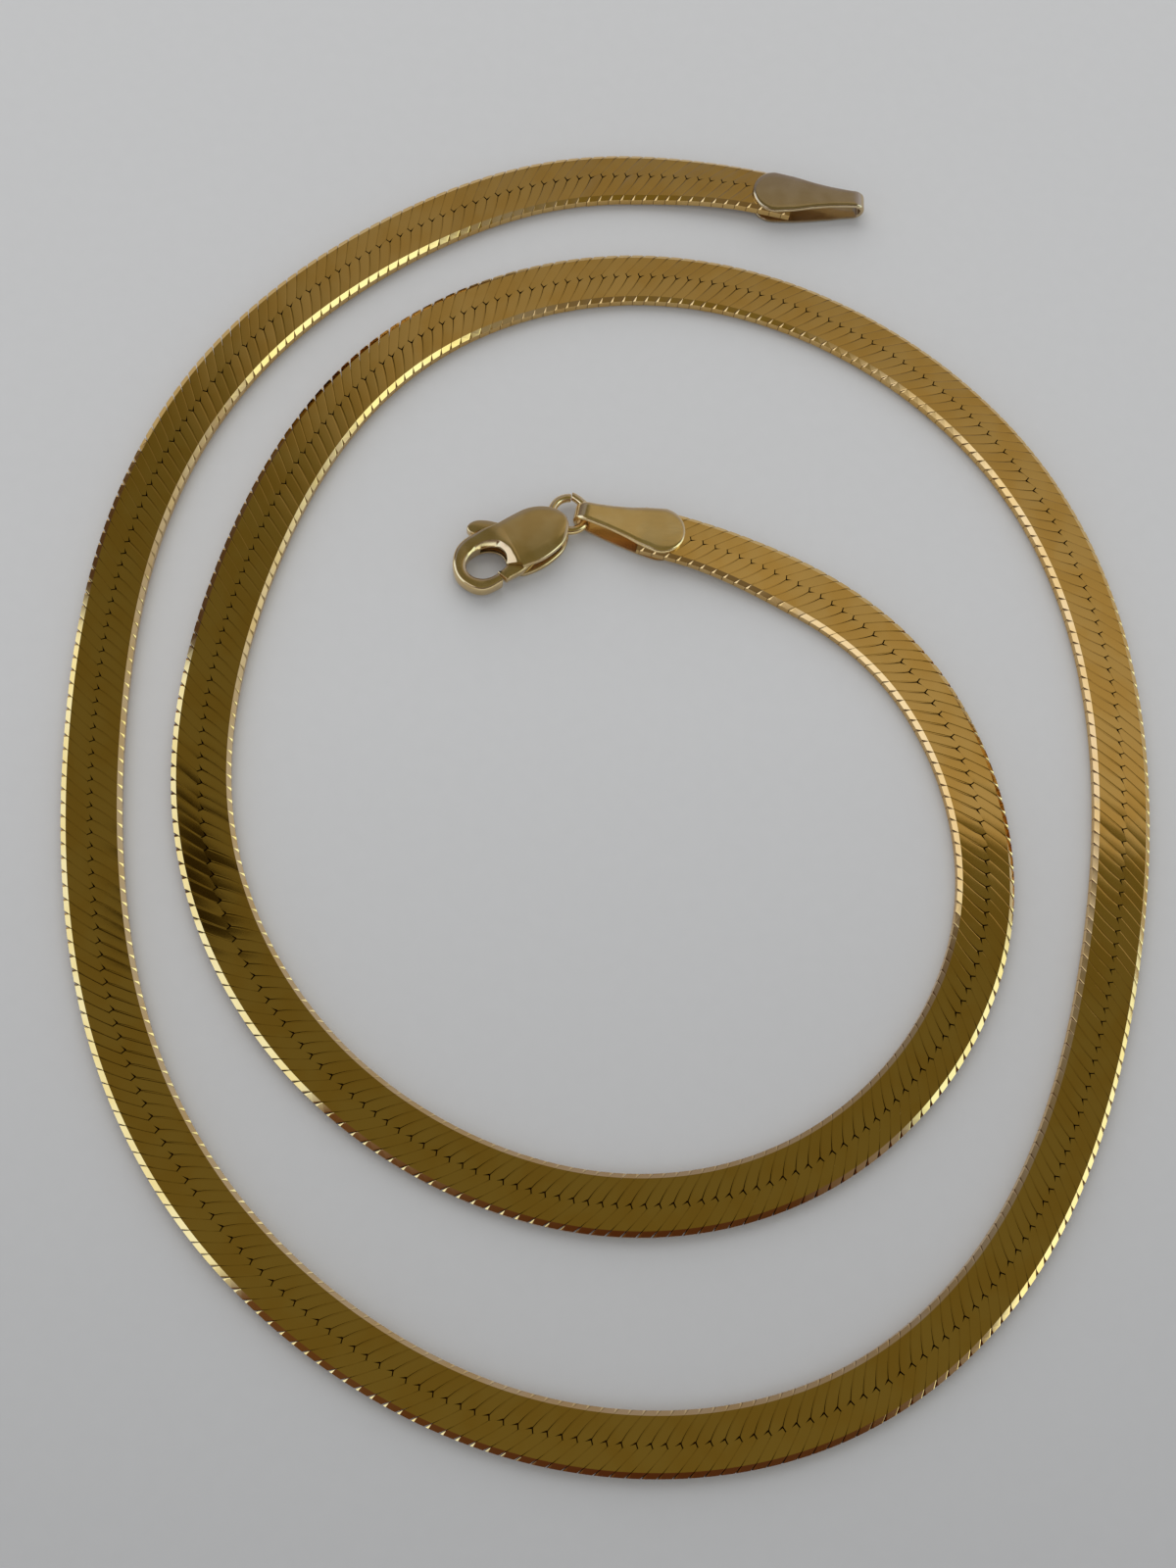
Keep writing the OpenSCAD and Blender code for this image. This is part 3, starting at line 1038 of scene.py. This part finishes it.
@dataclass
class EndTab:
    """A pressed strip folded round into an eye, its two round leaves soldered over the band's end."""

    name: str
    node: str
    length: float
    fold_h: float
    start: Sequence[float]
    heading: float
    finish: bpy.types.Material
    width: float = 3.5 * MM
    fold_w: float = 1.2 * MM
    leaf_t: float = 0.33 * MM
    cover: float = 3.2 * MM
    upper_z: float = 1.76 * MM
    edge_round: float = 0.21 * MM
    inner_round: float = 0.05 * MM
    pillow: float = 0.02 * MM

    def _half(self, rows: Sequence[tuple[float, float]], x: float) -> float:
        """Half the width of a leaf.

        Args:
            rows: Flank of the leaf: share of the length, share of the swell.
            x: Distance from the leaf's round end.

        Returns:
            Half the width there.
        """
        r = self.width / 2
        if x < r:
            return math.sqrt(max(r * r - (r - x) ** 2, 0.0))
        shares = [r / self.length] + [row[0] for row in rows]
        swells = [1.0] + [row[1] for row in rows]
        return self.fold_w / 2 + float(np.interp(x / self.length, shares, swells)) * (r - self.fold_w / 2)

    def _stations(self) -> list[tuple[float, float, float, float]]:
        """Places along the folded strip.

        Returns:
            For each place: x, z, the strip's angle of climb and half its width.
        """
        r = self.width / 2
        eye_r = self.fold_h / 2
        middle_r = eye_r - self.leaf_t / 2
        eye_x = self.length - eye_r
        run = (eye_x - self.cover, eye_r - self.upper_z)
        slope = math.atan2(run[1], run[0]) + math.asin(eye_r / math.hypot(*run))
        round_end = [r * (1 - math.cos(math.radians(a))) for a in range(4, 90, 7)]
        leaf = round_end + list(np.linspace(r, eye_x, 20))
        made = [(x, self.leaf_t / 2, 0.0, self._half(LOWER_LEAF, x)) for x in leaf[:-1]]
        for turn in np.linspace(0.0, math.pi + slope, 19):
            at = (eye_x + middle_r * math.sin(turn), eye_r - middle_r * math.cos(turn))
            made.append((*at, turn, self._half(UPPER_LEAF, at[0])))
        arc_end = made[-1]
        leaf_z = self.upper_z - self.leaf_t / 2
        for share in np.linspace(0.0, 1.0, 14)[1:]:
            x = arc_end[0] + share * (self.cover - arc_end[0])
            z = arc_end[1] + share * (leaf_z - arc_end[1])
            made.append((x, z, math.pi + slope * (1 - max(0.0, 6 * share - 5)), self._half(UPPER_LEAF, x)))
        rest = list(np.linspace(r, self.cover, 4)[1:-1][::-1]) + [r] + round_end[::-1]
        made.extend((x, leaf_z, math.pi, self._half(UPPER_LEAF, x)) for x in rest)
        return made

    def _section(self, x: float, half: float) -> np.ndarray:
        """The strip's section, with a broad round on its outer face's rim.

        Args:
            x: Distance from the leaf's round end.
            half: Half the width there.

        Returns:
            Places across and through the strip.
        """
        r = self.width / 2
        t = self.leaf_t / 2
        reach = min(self.edge_round, 0.4 * half) if x > r else self.edge_round
        across = half * np.sin(np.linspace(-math.pi / 2, math.pi / 2, 17))
        rim = half - np.abs(across)
        if x < r:
            rim = r - np.hypot(r - x, across)
        missing = np.clip(reach - rim, 0.0, reach)
        drop = reach - np.sqrt(reach * reach - missing * missing) + self.pillow * (across / r) ** 2
        outer = np.column_stack([across, drop - t])
        turn = min(self.inner_round, 0.3 * half)
        inner = np.array([(half, t - turn), (half - turn, t), (turn - half, t), (-half, t - turn)])
        return np.vstack([outer, inner])

    def build(self) -> bpy.types.Object:
        """Models the tab, folds it up and seats it at the band's end.

        Returns:
            The tab.
        """
        rings = []
        for x, z, climb, half in self._stations():
            up = np.array([-math.sin(climb), 0.0, math.cos(climb)])
            aside = np.array([0.0, 1.0, 0.0])
            section = self._section(x, half)
            rings.append(np.array([x, 0.0, z]) + section[:, 1:] * up + section[:, :1] * aside)
        piece = lofted(self.name, np.array(rings))
        piece.data.transform(Matrix.Translation((-self.cover, 0.0, 0.0)))
        placed(finished(piece, self.finish), (*self.start, 0.0), self.heading)
        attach(piece, NECKLACE)
        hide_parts(self.node)
        return piece


@dataclass
class JumpRing:
    """The split ring of round wire between the clasp tab and the clasp."""

    finish: bpy.types.Material
    wire: float = 0.62 * MM
    radius: float = 1.285 * MM
    split: float = math.radians(84.0)
    split_gap: float = 0.04 * MM
    step: float = 0.16 * MM
    step_run: float = math.radians(40.0)

    def centre(self) -> Vector:
        """Centre of the ring in the frame."""
        low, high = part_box("jump_ring")
        return (Vector(low) + Vector(high)) / 2

    def build(self) -> bpy.types.Object:
        """Bends the wire round to the ring, with one end standing out a little at the split.

        Returns:
            The ring.
        """
        half_gap = self.split_gap / 2 / self.radius
        rings = []
        for turn in np.linspace(half_gap, 2 * math.pi - half_gap, 65):
            left = 2 * math.pi - half_gap - turn
            out = self.step * max(0.0, 1 - left / self.step_run) ** 2
            way = np.array([math.cos(self.split + turn), math.sin(self.split + turn), 0.0])
            end = min(turn, 2 * math.pi - turn) - half_gap
            r = self.wire / 2 * (1.0 if end > 0.02 else 0.93)
            around = np.linspace(0.0, 2 * math.pi, 18, endpoint=False)
            reach = self.radius + out + r * np.cos(around)
            rings.append(reach[:, None] * way + np.outer(r * np.sin(around), (0.0, 0.0, 1.0)))
        piece = finished(lofted("split_ring", np.array(rings)), self.finish)
        placed(piece, self.centre(), 0.0)
        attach(piece, NECKLACE)
        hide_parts("jump_ring")
        return piece


@dataclass
class Clasp:
    """The lobster clasp: two plates, the hook round its eye, the rivet and the sprung lever.

    Places on it are shares of its length from the tail, and of its width from the axis, positive
    towards the mouth, as in the part's source.
    """

    ring_at: Vector
    heading: float
    finish: bpy.types.Material
    length: float = 8.9 * MM
    width: float = 4.65 * MM
    thickness: float = 1.9 * MM
    plate_t: float = 0.5 * MM
    plate_front: float = 0.505
    crown: float = 0.07 * MM
    facet: float = 0.34 * MM
    facet_drop: float = 0.085 * MM
    rim_round: float = 0.11 * MM
    tail_round: float = 0.20 * MM
    hook_low: float = 0.3 * MM
    hook_high: float = 1.5 * MM
    fall_from: float = 5.2 * MM
    fall_run: float = 2.3 * MM
    wall_low: float = 0.42 * MM
    wall_high: float = 1.48 * MM
    seam_round: float = 0.02 * MM
    rivet_round: float = 0.03 * MM
    eye_round: float = 0.05 * MM
    crest_round: float = 0.06 * MM
    lever_round: float = 0.13 * MM
    lower_round: float = 0.14 * MM
    under_round: float = 0.2 * MM
    rim_fall: float = 0.8
    hook_step: float = 4.0
    hook_sink: float = 0.004 * MM
    least_wall: float = 0.08 * MM
    lower_rim: float = 0.09 * MM
    ring_on_clasp: tuple[float, float] = (-0.565 * MM, -0.7905 * MM)
    pin: tuple[float, float] = (0.28, 0.0)
    pin_r: float = 0.4 * MM
    eye: tuple[float, float] = (0.75, 0.08)
    eye_half: tuple[float, float] = (0.17, 0.25)
    hook_turns: tuple[float, float] = (103.0, -212.0)
    lever_play: float = 0.06 * MM
    gate_reach: float = 0.45 * 8.9 * MM
    tail_rows = ((0, -0.05), (0.03, -0.22), (0.12, -0.37), (0.25, -0.45), (0.4, -0.44), (0.54, -0.41))
    back_rows = ((0.49, 0.4), (0.35, 0.41), (0.23, 0.37), (0.11, 0.28), (0.03, 0.12))
    hook_rows = (
        (0.69, -0.43), (0.81, -0.42), (0.92, -0.32), (1.0, -0.1), (1.01, 0.14), (0.95, 0.36),
        (0.86, 0.48), (0.73, 0.48), (0.6, 0.44),
    )
    step_rows = (
        (0.68, -0.4), (0.76, -0.39), (0.77, -0.31), (0.7, -0.28), (0.63, -0.25), (0.58, -0.16),
        (0.55, 0), (0.54, 0.16), (0.54, 0.3),
    )
    outline_rows = tail_rows + hook_rows + back_rows
    plate_rows = tail_rows + step_rows + back_rows
    # Width of the bright slope beside the eye, by angle round the eye
    slope_angles = (-212, -188, -161, -150, -147, -120, -104, -84, -68)
    slope_widths = (0.80, 0.46, 0.40, 0.38, 0.37, 0.36, 0.34, 0.28, 0.20)
    slope_rates = (0.53, 0.53, 0.60, 0.75, 1.42, 1.42, 1.42, 1.35, 0.60)
    lever_rows = (
        (0.2, 0), (0.23, -0.13), (0.33, -0.24), (0.44, -0.36), (0.51, -0.46), (0.58, -0.56),
        (0.66, -0.63), (0.73, -0.62), (0.76, -0.55), (0.74, -0.46), (0.68, -0.37), (0.63, -0.28),
        (0.56, -0.16), (0.52, 0.02), (0.55, 0.16), (0.59, 0.22), (0.65, 0.27), (0.73, 0.31),
        (0.77, 0.4), (0.71, 0.46), (0.61, 0.44), (0.51, 0.42), (0.42, 0.36), (0.33, 0.27),
        (0.24, 0.15),
    )
    tail_walls = (
        ((0.005, -0.02), (0.10, 0.0), (0.12, 0.27), (0.05, 0.14)),
        ((0.07, -0.29), (0.15, -0.30), (0.16, -0.39), (0.13, -0.36)),
    )

    @property
    def scale(self) -> tuple[float, float]:
        """Length and width of the clasp."""
        return self.length, self.width

    def _top(self, outline: np.ndarray, x: float, y: float, edges: bool) -> float:
        """Height of the clasp's top, crowned and falling from the plate to the hook.

        Args:
            outline: The clasp's outline.
            x: Place along the clasp.
            y: Place across it.
            edges: Whether the facet and the rounded rims count.

        Returns:
            The height.
        """
        low, high = self._reach(outline, x)
        middle, half = (low + high) / 2, max((high - low) / 2, ON_EDGE)
        fall = min(1.0, max(0.0, (x - self.fall_from) / self.fall_run))
        fall = fall * fall * (3 - 2 * fall)
        z = self.thickness - fall * (self.thickness - self.hook_high)
        z -= self.crown * (1 - fall) * ((y - middle) / half) ** 2
        if not edges:
            return z
        reach = min(self.facet, 0.4 * half)
        z -= self.facet_drop * (1 - fall) * max(0.0, 1 - (high - y) / (reach + self.rim_round))
        for depth, radius in ((high - y, self.rim_round), (y - low, self.rim_round), (x, self.tail_round)):
            missing = min(max(radius - depth, 0.0), radius)
            z -= self.rim_fall * (radius - math.sqrt(radius * radius - missing * missing))
        return z

    def top_plate(self) -> bpy.types.Object:
        """Models the upper plate, crowned, with a facet on the mouth's side.

        Returns:
            The plate.
        """
        outline = smooth_loop(self.outline_rows, self.scale)
        front = self.plate_front * self.length
        floor = self.thickness - self.plate_t
        tail = [front * 0.12 * (1 - math.cos(math.radians(a))) for a in range(8, 90, 9)]
        rings = []
        for x in tail + list(np.linspace(tail[-1], front, 24)[1:]):
            low, high = self._reach(outline, x)
            rim = min(self.rim_round, 0.2 * (high - low))
            steps = rim * (1 - np.sin(np.radians((90, 60, 30, 0))))
            reach = min(self.facet, 0.2 * (high - low))
            flat = np.linspace(low + rim, high - rim - reach, 9)
            across = [*(low + steps[:-1]), *flat, high - rim - reach / 2, *(high - steps[::-1])]
            loop = [(y, max(self._top(outline, x, y, True), floor + 0.02 * MM)) for y in across]
            rings.append([(x, y, z) for y, z in loop] + [(x, high, floor), (x, low, floor)])
        return lofted("top_plate", np.array(rings))

    @staticmethod
    def _reach(outline: np.ndarray, x: float) -> tuple[float, float]:
        """How far an outline reaches across.

        Args:
            outline: The outline's points.
            x: Place along it.

        Returns:
            Its lowest and its highest place across there.
        """
        following = np.roll(outline, -1, axis=0)
        crossing = (outline[:, 0] - x) * (following[:, 0] - x) <= 0
        a, b = outline[crossing], following[crossing]
        share = (x - a[:, 0]) / (b[:, 0] - a[:, 0] + 1e-12)
        y = a[:, 1] + share * (b[:, 1] - a[:, 1])
        return float(y.min()), float(y.max())

    def hook(self, turns: tuple[float, float], upper: bool) -> bpy.types.Object:
        """Models the hook as a bar swept round the eye, rising behind it to the top plate.

        Args:
            turns: Angles round the eye at which it starts and ends.
            upper: Whether this is the upper bar, or the thin lower one behind the thumb piece.

        Returns:
            The bar.
        """
        outline = smooth_loop(self.outline_rows, self.scale)
        centre = np.array(self.eye) * self.scale
        rim = np.array(self.eye_half) * self.scale
        wall_x = (self.plate_front - 0.01) * self.length
        rings = []
        for degrees in np.arange(turns[0], turns[1] - 0.1, -self.hook_step):
            way = np.array([math.cos(math.radians(degrees)), math.sin(math.radians(degrees))])
            near = 1.0 / math.hypot(way[0] / rim[0], way[1] / rim[1])
            far = self._ray(outline, centre, way)
            under_plate = way[0] < 0 and (wall_x - centre[0]) / way[0] < far and degrees < -90
            if under_plate:
                far = (wall_x - centre[0]) / way[0]
            crest = near + float(np.interp(degrees, self.slope_angles, self.slope_widths)) * MM
            low = self.hook_low
            if upper:
                on_plate = degrees < -120
                crest_high = self._top(outline, *(centre + crest * way), on_plate)
                rate = float(np.interp(degrees, self.slope_angles, self.slope_rates))
                near_high = crest_high - rate * (crest - near)
                far_high = self._top(outline, *(centre + far * way), under_plate) - self.hook_sink
                if degrees < -94.0:
                    low = self.thickness - self.plate_t
            else:
                crest_high = near_high = far_high = self.plate_t
            outer = float(np.interp(degrees, (-130, -90), (0.11, 0.33))) * MM
            if under_plate:
                outer = self.seam_round
            rounds = (self.eye_round, self.crest_round, self.eye_round)
            radii = (*rounds, outer, min(self.under_round, outer))
            if not upper:
                radii = (self.eye_round,) * 5
            near_low = min(low, near_high - self.least_wall)
            shape = [(near, near_low), (near, near_high), (crest, crest_high), (far, far_high), (far, low)]
            rings.append([(*(centre + r * way), z) for r, z in rounded_corners(shape, radii)])
        return lofted("hook_bar", np.array(rings))

    @staticmethod
    def _ray(outline: np.ndarray, start: np.ndarray, way: np.ndarray) -> float:
        """How far an outline is from a point inside it.

        Args:
            outline: The outline's points.
            start: The point.
            way: The way to go from it.

        Returns:
            The distance along that way.
        """
        a = outline - start
        b = np.roll(outline, -1, axis=0) - start
        side = np.array([-way[1], way[0]])
        over_a, over_b = a @ side, b @ side
        crossing = over_a * over_b <= 0
        share = over_a[crossing] / (over_a[crossing] - over_b[crossing] + 1e-15)
        hits = (a[crossing] + share[:, None] * (b[crossing] - a[crossing])) @ way
        return float(hits[hits > 0].max())

    @staticmethod
    def slab(name: str, outline: np.ndarray, low: float, high: float, rim: float) -> bpy.types.Object:
        """Models a slab with both its rims rounded.

        Args:
            name: The slab's name.
            outline: Its outline in metres, anticlockwise.
            low: Height of its underside.
            high: Height of its top.
            rim: Radius of its rims.

        Returns:
            The slab.
        """
        piece = plate_over(name, [tuple(point) for point in outline], low, high)
        select(piece, Part.EDGE, lambda e: abs(e.verts[0].co.z - e.verts[1].co.z) < MERGE)
        bpy.ops.mesh.bevel(offset=rim, segments=3, affect="EDGES")
        bpy.ops.object.mode_set(mode="OBJECT")
        return piece

    def body(self) -> bpy.types.Object:
        """Joins the plates, the hook and the walls at the tail.

        Returns:
            The clasp's body.
        """
        base = smooth_loop(self.plate_rows, self.scale)
        following, before = np.roll(base, -1, axis=0), np.roll(base, 1, axis=0)
        way = following - before
        way /= np.hypot(*way.T)[:, None]
        wide = base + self.lower_rim * np.column_stack([way[:, 1], -way[:, 0]])
        pieces = [
            self.top_plate(),
            self.hook(self.hook_turns, upper=True),
            self.hook((-90.0, self.hook_turns[1]), upper=False),
            self.slab("lower_plate", wide, 0.0, self.plate_t, self.lower_round),
        ]
        for rows in self.tail_walls:
            wall = np.array(rows) * self.scale
            sizes = (self.wall_low, self.wall_high, self.seam_round)
            pieces.append(self.slab("tail_wall", wall, *sizes))
        return joined(pieces, "lobster_body")

    def rivet(self) -> bpy.types.Object:
        """Models the rivet between the plates, with its heads filed flush.

        Returns:
            The rivet.
        """
        turns = np.linspace(0.0, 2 * math.pi, 32, endpoint=False)
        circle = np.column_stack([np.cos(turns), np.sin(turns)])
        ring = np.array(self.pin) * self.scale + self.pin_r * circle
        return self.slab("clasp_rivet", ring, self.wall_low, self.wall_high, self.rivet_round)

    def lever(self) -> bpy.types.Object:
        """Models the lever with its thumb piece and its gate, cut to the gate's reach.

        Returns:
            The lever.
        """
        outline = smooth_loop(self.lever_rows, self.scale)
        pivot = np.array(self.pin) * self.scale
        arm = outline - pivot
        reach = np.hypot(*arm.T)
        far = (reach > self.gate_reach) & (arm[:, 1] > 0)
        outline[far] = pivot + arm[far] * (self.gate_reach / reach[far])[:, None]
        low = self.plate_t + self.lever_play
        high = self.thickness - self.plate_t - self.lever_play
        return self.slab("sprung_lever", outline, low, high, self.lever_round)

    def build(self) -> list[bpy.types.Object]:
        """Models the clasp and lays it down at its ring.

        Returns:
            Body, rivet and lever.
        """
        made = []
        ring_x, ring_y = self.ring_on_clasp
        for piece, body, node in (
            (self.body(), NECKLACE, "clasp_body"),
            (self.rivet(), NECKLACE, "clasp_pin"),
            (self.lever(), LEVER, "clasp_lever"),
        ):
            finished(piece, self.finish, smooth_to=50.0)
            piece.data.transform(Matrix.Translation((-ring_x, -ring_y, 0.0)))
            placed(piece, (self.ring_at.x, self.ring_at.y, 0.0), self.heading)
            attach(piece, body)
            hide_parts(node)
            made.append(piece)
        return made


# Table, light and camera

@dataclass(frozen=True)
class Table:
    """The plain table that the chain lies on."""

    half: float = 1.5

    def build(self) -> bpy.types.Object:
        """Models the table top.

        Returns:
            The table.
        """
        deselect_all()
        bpy.ops.mesh.primitive_plane_add(size=2 * self.half)
        piece = bpy.context.object
        piece.name = "table_top"
        piece.data.materials.append(MattTable().material())
        return piece


@dataclass(frozen=True)
class Studio:
    """Soft studio light: a broad lamp for the table and a tented room that the gold mirrors."""

    lamp_size: float = 0.80
    lamp_at: tuple[float, float, float] = (-0.08, 0.44, 0.34)
    lamp_power: float = 1.9
    dark: tuple[float, float, float] = (0.130, 0.114, 0.040)
    lit: tuple[float, float, float] = (0.42, 0.37, 0.25)
    backdrop: tuple[float, float, float] = (0.62, 0.62, 0.62)
    fill: tuple[float, float, float] = (0.56, 0.553, 0.54)
    hand_at: tuple[float, float] = (-0.124, 0.268)
    hand_half: tuple[float, float] = (0.024, 0.045)
    hand_tone: tuple[float, float, float] = (0.022, 0.016, 0.004)

    # Light of the walls low down, by azimuth in degrees from +X towards +Y
    low_walls = (
        (0, (1.2, 1.6, 1.95)), (7, (1.0, 1.2, 1.6)), (14, (0.50, 0.56, 0.80)),
        (35, (0.47, 0.52, 0.78)), (75, (0.32, 0.33, 0.50)), (126, (0.20, 0.21, 0.32)),
        (148, (0.08, 0.05, 0.04)), (152, (1.05, 1.35, 1.90)), (216, (1.08, 1.40, 1.95)),
        (221, (0.14, 0.08, 0.05)), (270, (0.08, 0.032, 0.02)), (305, (0.09, 0.045, 0.03)),
        (320, (0.22, 0.20, 0.25)), (328, (0.27, 0.28, 0.38)), (334, (1.2, 1.65, 1.98)),
    )
    # Light near the horizon
    horizon = (
        (0, (1.2, 1.6, 1.95)), (8, (0.6, 0.7, 0.95)), (60, (0.40, 0.43, 0.55)),
        (120, (0.12, 0.10, 0.10)), (150, (0.08, 0.05, 0.04)), (154, (1.15, 1.45, 1.9)),
        (225, (1.1, 1.4, 1.9)), (255, (1.3, 1.5, 1.8)), (285, (1.5, 1.8, 1.98)),
        (335, (1.5, 1.8, 1.98)),
    )
    # Light of the walls high up
    high_walls = (
        (0, (0.42, 0.46, 0.62)), (30, (0.40, 0.42, 0.60)), (75, (0.28, 0.28, 0.36)),
        (125, (0.22, 0.24, 0.36)), (146, (0.20, 0.21, 0.26)), (151, (1.0, 1.10, 1.60)),
        (200, (1.1, 1.25, 1.80)), (234, (1.05, 1.15, 1.60)), (248, (0.17, 0.15, 0.13)),
        (295, (0.17, 0.15, 0.13)), (323, (0.30, 0.33, 0.42)), (328, (1.4, 1.8, 1.98)),
        (350, (1.4, 1.8, 1.98)), (355, (0.50, 0.55, 0.78)),
    )

    def _walls(self, tree: Tree, turn: Number, walls: tuple, strength: float = 2.0) -> bpy.types.NodeSocket:
        """Light of one height of the walls all round.

        Args:
            tree: The world's tree.
            turn: Azimuth as a share of a full turn.
            walls: Pairs of azimuth and light.
            strength: Light that the ramp's colour 1 stands for.

        Returns:
            The light's colour socket.
        """
        stops = [(azimuth / 360, tuple(part / strength for part in light)) for azimuth, light in walls]
        stops.append((1.0, stops[0][1]))
        ramp = tree.node("ValToRGB", {"stops": stops}, {0: turn})
        return tree.scaled(ramp.outputs[0], strength)

    def room(self) -> bpy.types.World:
        """Builds the room of light around the chain.

        Returns:
            The world.
        """
        made = bpy.data.worlds.new("tented_room")
        made.use_nodes = True
        tree = Tree(made.node_tree)
        way = tree.node("TexCoord").outputs["Generated"]
        parts = tree.node("SeparateXYZ", inputs={0: way})
        x, y, z = (tree.number(socket) for socket in parts.outputs)
        turn = y.angle_from(x) / (2 * math.pi)
        turn = turn + 1.0 - turn.ramp(-1e-5, 1e-5, smooth=False)
        low = self._walls(tree, turn, self.low_walls)
        high = self._walls(tree, turn, self.high_walls)
        horizon = self._walls(tree, turn, self.horizon)
        low = tree.mix(horizon, low, z.ramp(0.10, 0.15))
        walls = tree.mix(low, high, z.ramp(0.40, 0.60))
        above = z.at_least(0.05)
        side = x / above
        ahead = y / above
        dark = tree.scaled(self.dark, (1.15 - 0.35 * ahead).at_least(0.9))
        edge = (0.545 - 0.85 * side).at_least(0.30)
        soft = 0.012 + 0.13 * (1.0 - side.ramp(-0.02, 0.28))
        share = (ahead - edge).ramp(0.0 - soft, soft)
        fading = (1.43 - 1.1 * ahead).at_least(0.4)
        ceiling = tree.mix(dark, tree.scaled(self.lit, fading), share)
        across = (side - self.hand_at[0]) / self.hand_half[0]
        along = (ahead - self.hand_at[1]) / self.hand_half[1]
        clear = (across * across + along * along).ramp(0.7, 1.5)
        ceiling = tree.mix(self.hand_tone, ceiling, clear)
        light = tree.mix(walls, ceiling, z.ramp(0.74, 0.81))
        seen = tree.node("LightPath").outputs["Is Camera Ray"]
        matt = tree.node("LightPath").outputs["Is Diffuse Ray"]
        shown = tree.mix(tree.mix(light, self.backdrop, seen), self.fill, matt)
        glow = tree.node("Background", inputs={"Color": shown, "Strength": 1.0})
        tree.node("OutputWorld", inputs={"Surface": glow.outputs[0]})
        return made

    def lamp(self) -> bpy.types.Object:
        """Hangs the broad lamp over the table, where no metal mirrors it.

        Returns:
            The lamp.
        """
        light = bpy.data.lights.new("broad_lamp", "AREA")
        light.shape = "DISK"
        light.size = self.lamp_size
        light.energy = self.lamp_power
        light.color = (1.0, 1.0, 1.0)
        lamp = bpy.data.objects.new("broad_lamp", light)
        lamp.location = self.lamp_at
        lamp.rotation_euler = Vector(self.lamp_at).to_track_quat("Z", "Y").to_euler()
        lamp.visible_glossy = False
        bpy.context.collection.objects.link(lamp)
        return lamp

    def build(self) -> None:
        """Sets the world, the lamp and how the picture's tones are shown."""
        scene = bpy.context.scene
        scene.world = self.room()
        self.lamp()
        scene.view_settings.view_transform = "Standard"
        scene.view_settings.look = "None"


@dataclass(frozen=True)
class PhotoCamera:
    """The camera at the photograph's viewing angle."""

    place: tuple[float, float, float] = (-0.014335, -0.042681, 0.121514)
    tip: float = 0.3296815
    tip_axis_turn: float = -0.29589242
    lens: float = 42.75

    def build(self) -> bpy.types.Object:
        """Makes the camera and looks through it.

        Returns:
            The camera.
        """
        data = bpy.data.cameras.new("photo_camera")
        data.lens = self.lens
        data.sensor_width = 36.0
        data.clip_start = 0.01
        data.clip_end = 20.0
        camera = bpy.data.objects.new("photo_camera", data)
        axis = Vector((math.cos(self.tip_axis_turn), math.sin(self.tip_axis_turn), 0.0))
        camera.matrix_world = Matrix.Translation(self.place) @ Matrix.Rotation(self.tip, 4, axis)
        bpy.context.collection.objects.link(camera)
        bpy.context.scene.camera = camera
        return camera


def corners(bounds: tuple[Vector, Vector]) -> list[list[float]]:
    """Bounds as plain lists."""
    return [list(corner) for corner in bounds]


def main() -> None:
    """Builds the scene piece by piece."""
    logging.basicConfig(level=logging.INFO, format="%(name)s: %(message)s")
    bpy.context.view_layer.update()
    PhotoCamera().build()
    Studio().build()
    Table().build()
    route = BandRoute()
    log.info("route of %.1f mm", route.length / MM)
    band = WovenBand(route, WovenGold().material(), ShadedJointGold().material()).build()
    band.data.calc_loop_triangles()
    log.info("%s: %d triangles", band.name, len(band.data.loop_triangles))
    gold = PolishedGold().material()
    tab_heading, tail_heading, clasp_heading = (math.radians(turn) for turn in (167.005, -3.31, 206.005))
    clasp_tab = EndTab("ring_tab", "clasp_tab", 8.1 * MM, 2.0 * MM, route.middle[0], tab_heading, gold)
    dull_gold = PolishedGold("dull_gold", (0.56, 0.42, 0.23), (0.60, 0.46, 0.27)).material()
    tail_tab = EndTab("eye_tab", "tail_tab", 8.8 * MM, 1.8 * MM, route.middle[-1], tail_heading, dull_gold)
    for tab in (clasp_tab, tail_tab):
        log.info("%s: %d faces", tab.name, len(tab.build().data.polygons))
    ring = JumpRing(gold)
    log.info("%s: %d faces", "split_ring", len(ring.build().data.polygons))
    clasp_gold = PolishedGold("clasp_gold", (0.71, 0.51, 0.23), (0.75, 0.56, 0.29)).material()
    for piece in Clasp(ring.centre(), clasp_heading, clasp_gold).build():
        log.info("%s: %d faces", piece.name, len(piece.data.polygons))


if __name__ == "__main__":
    main()
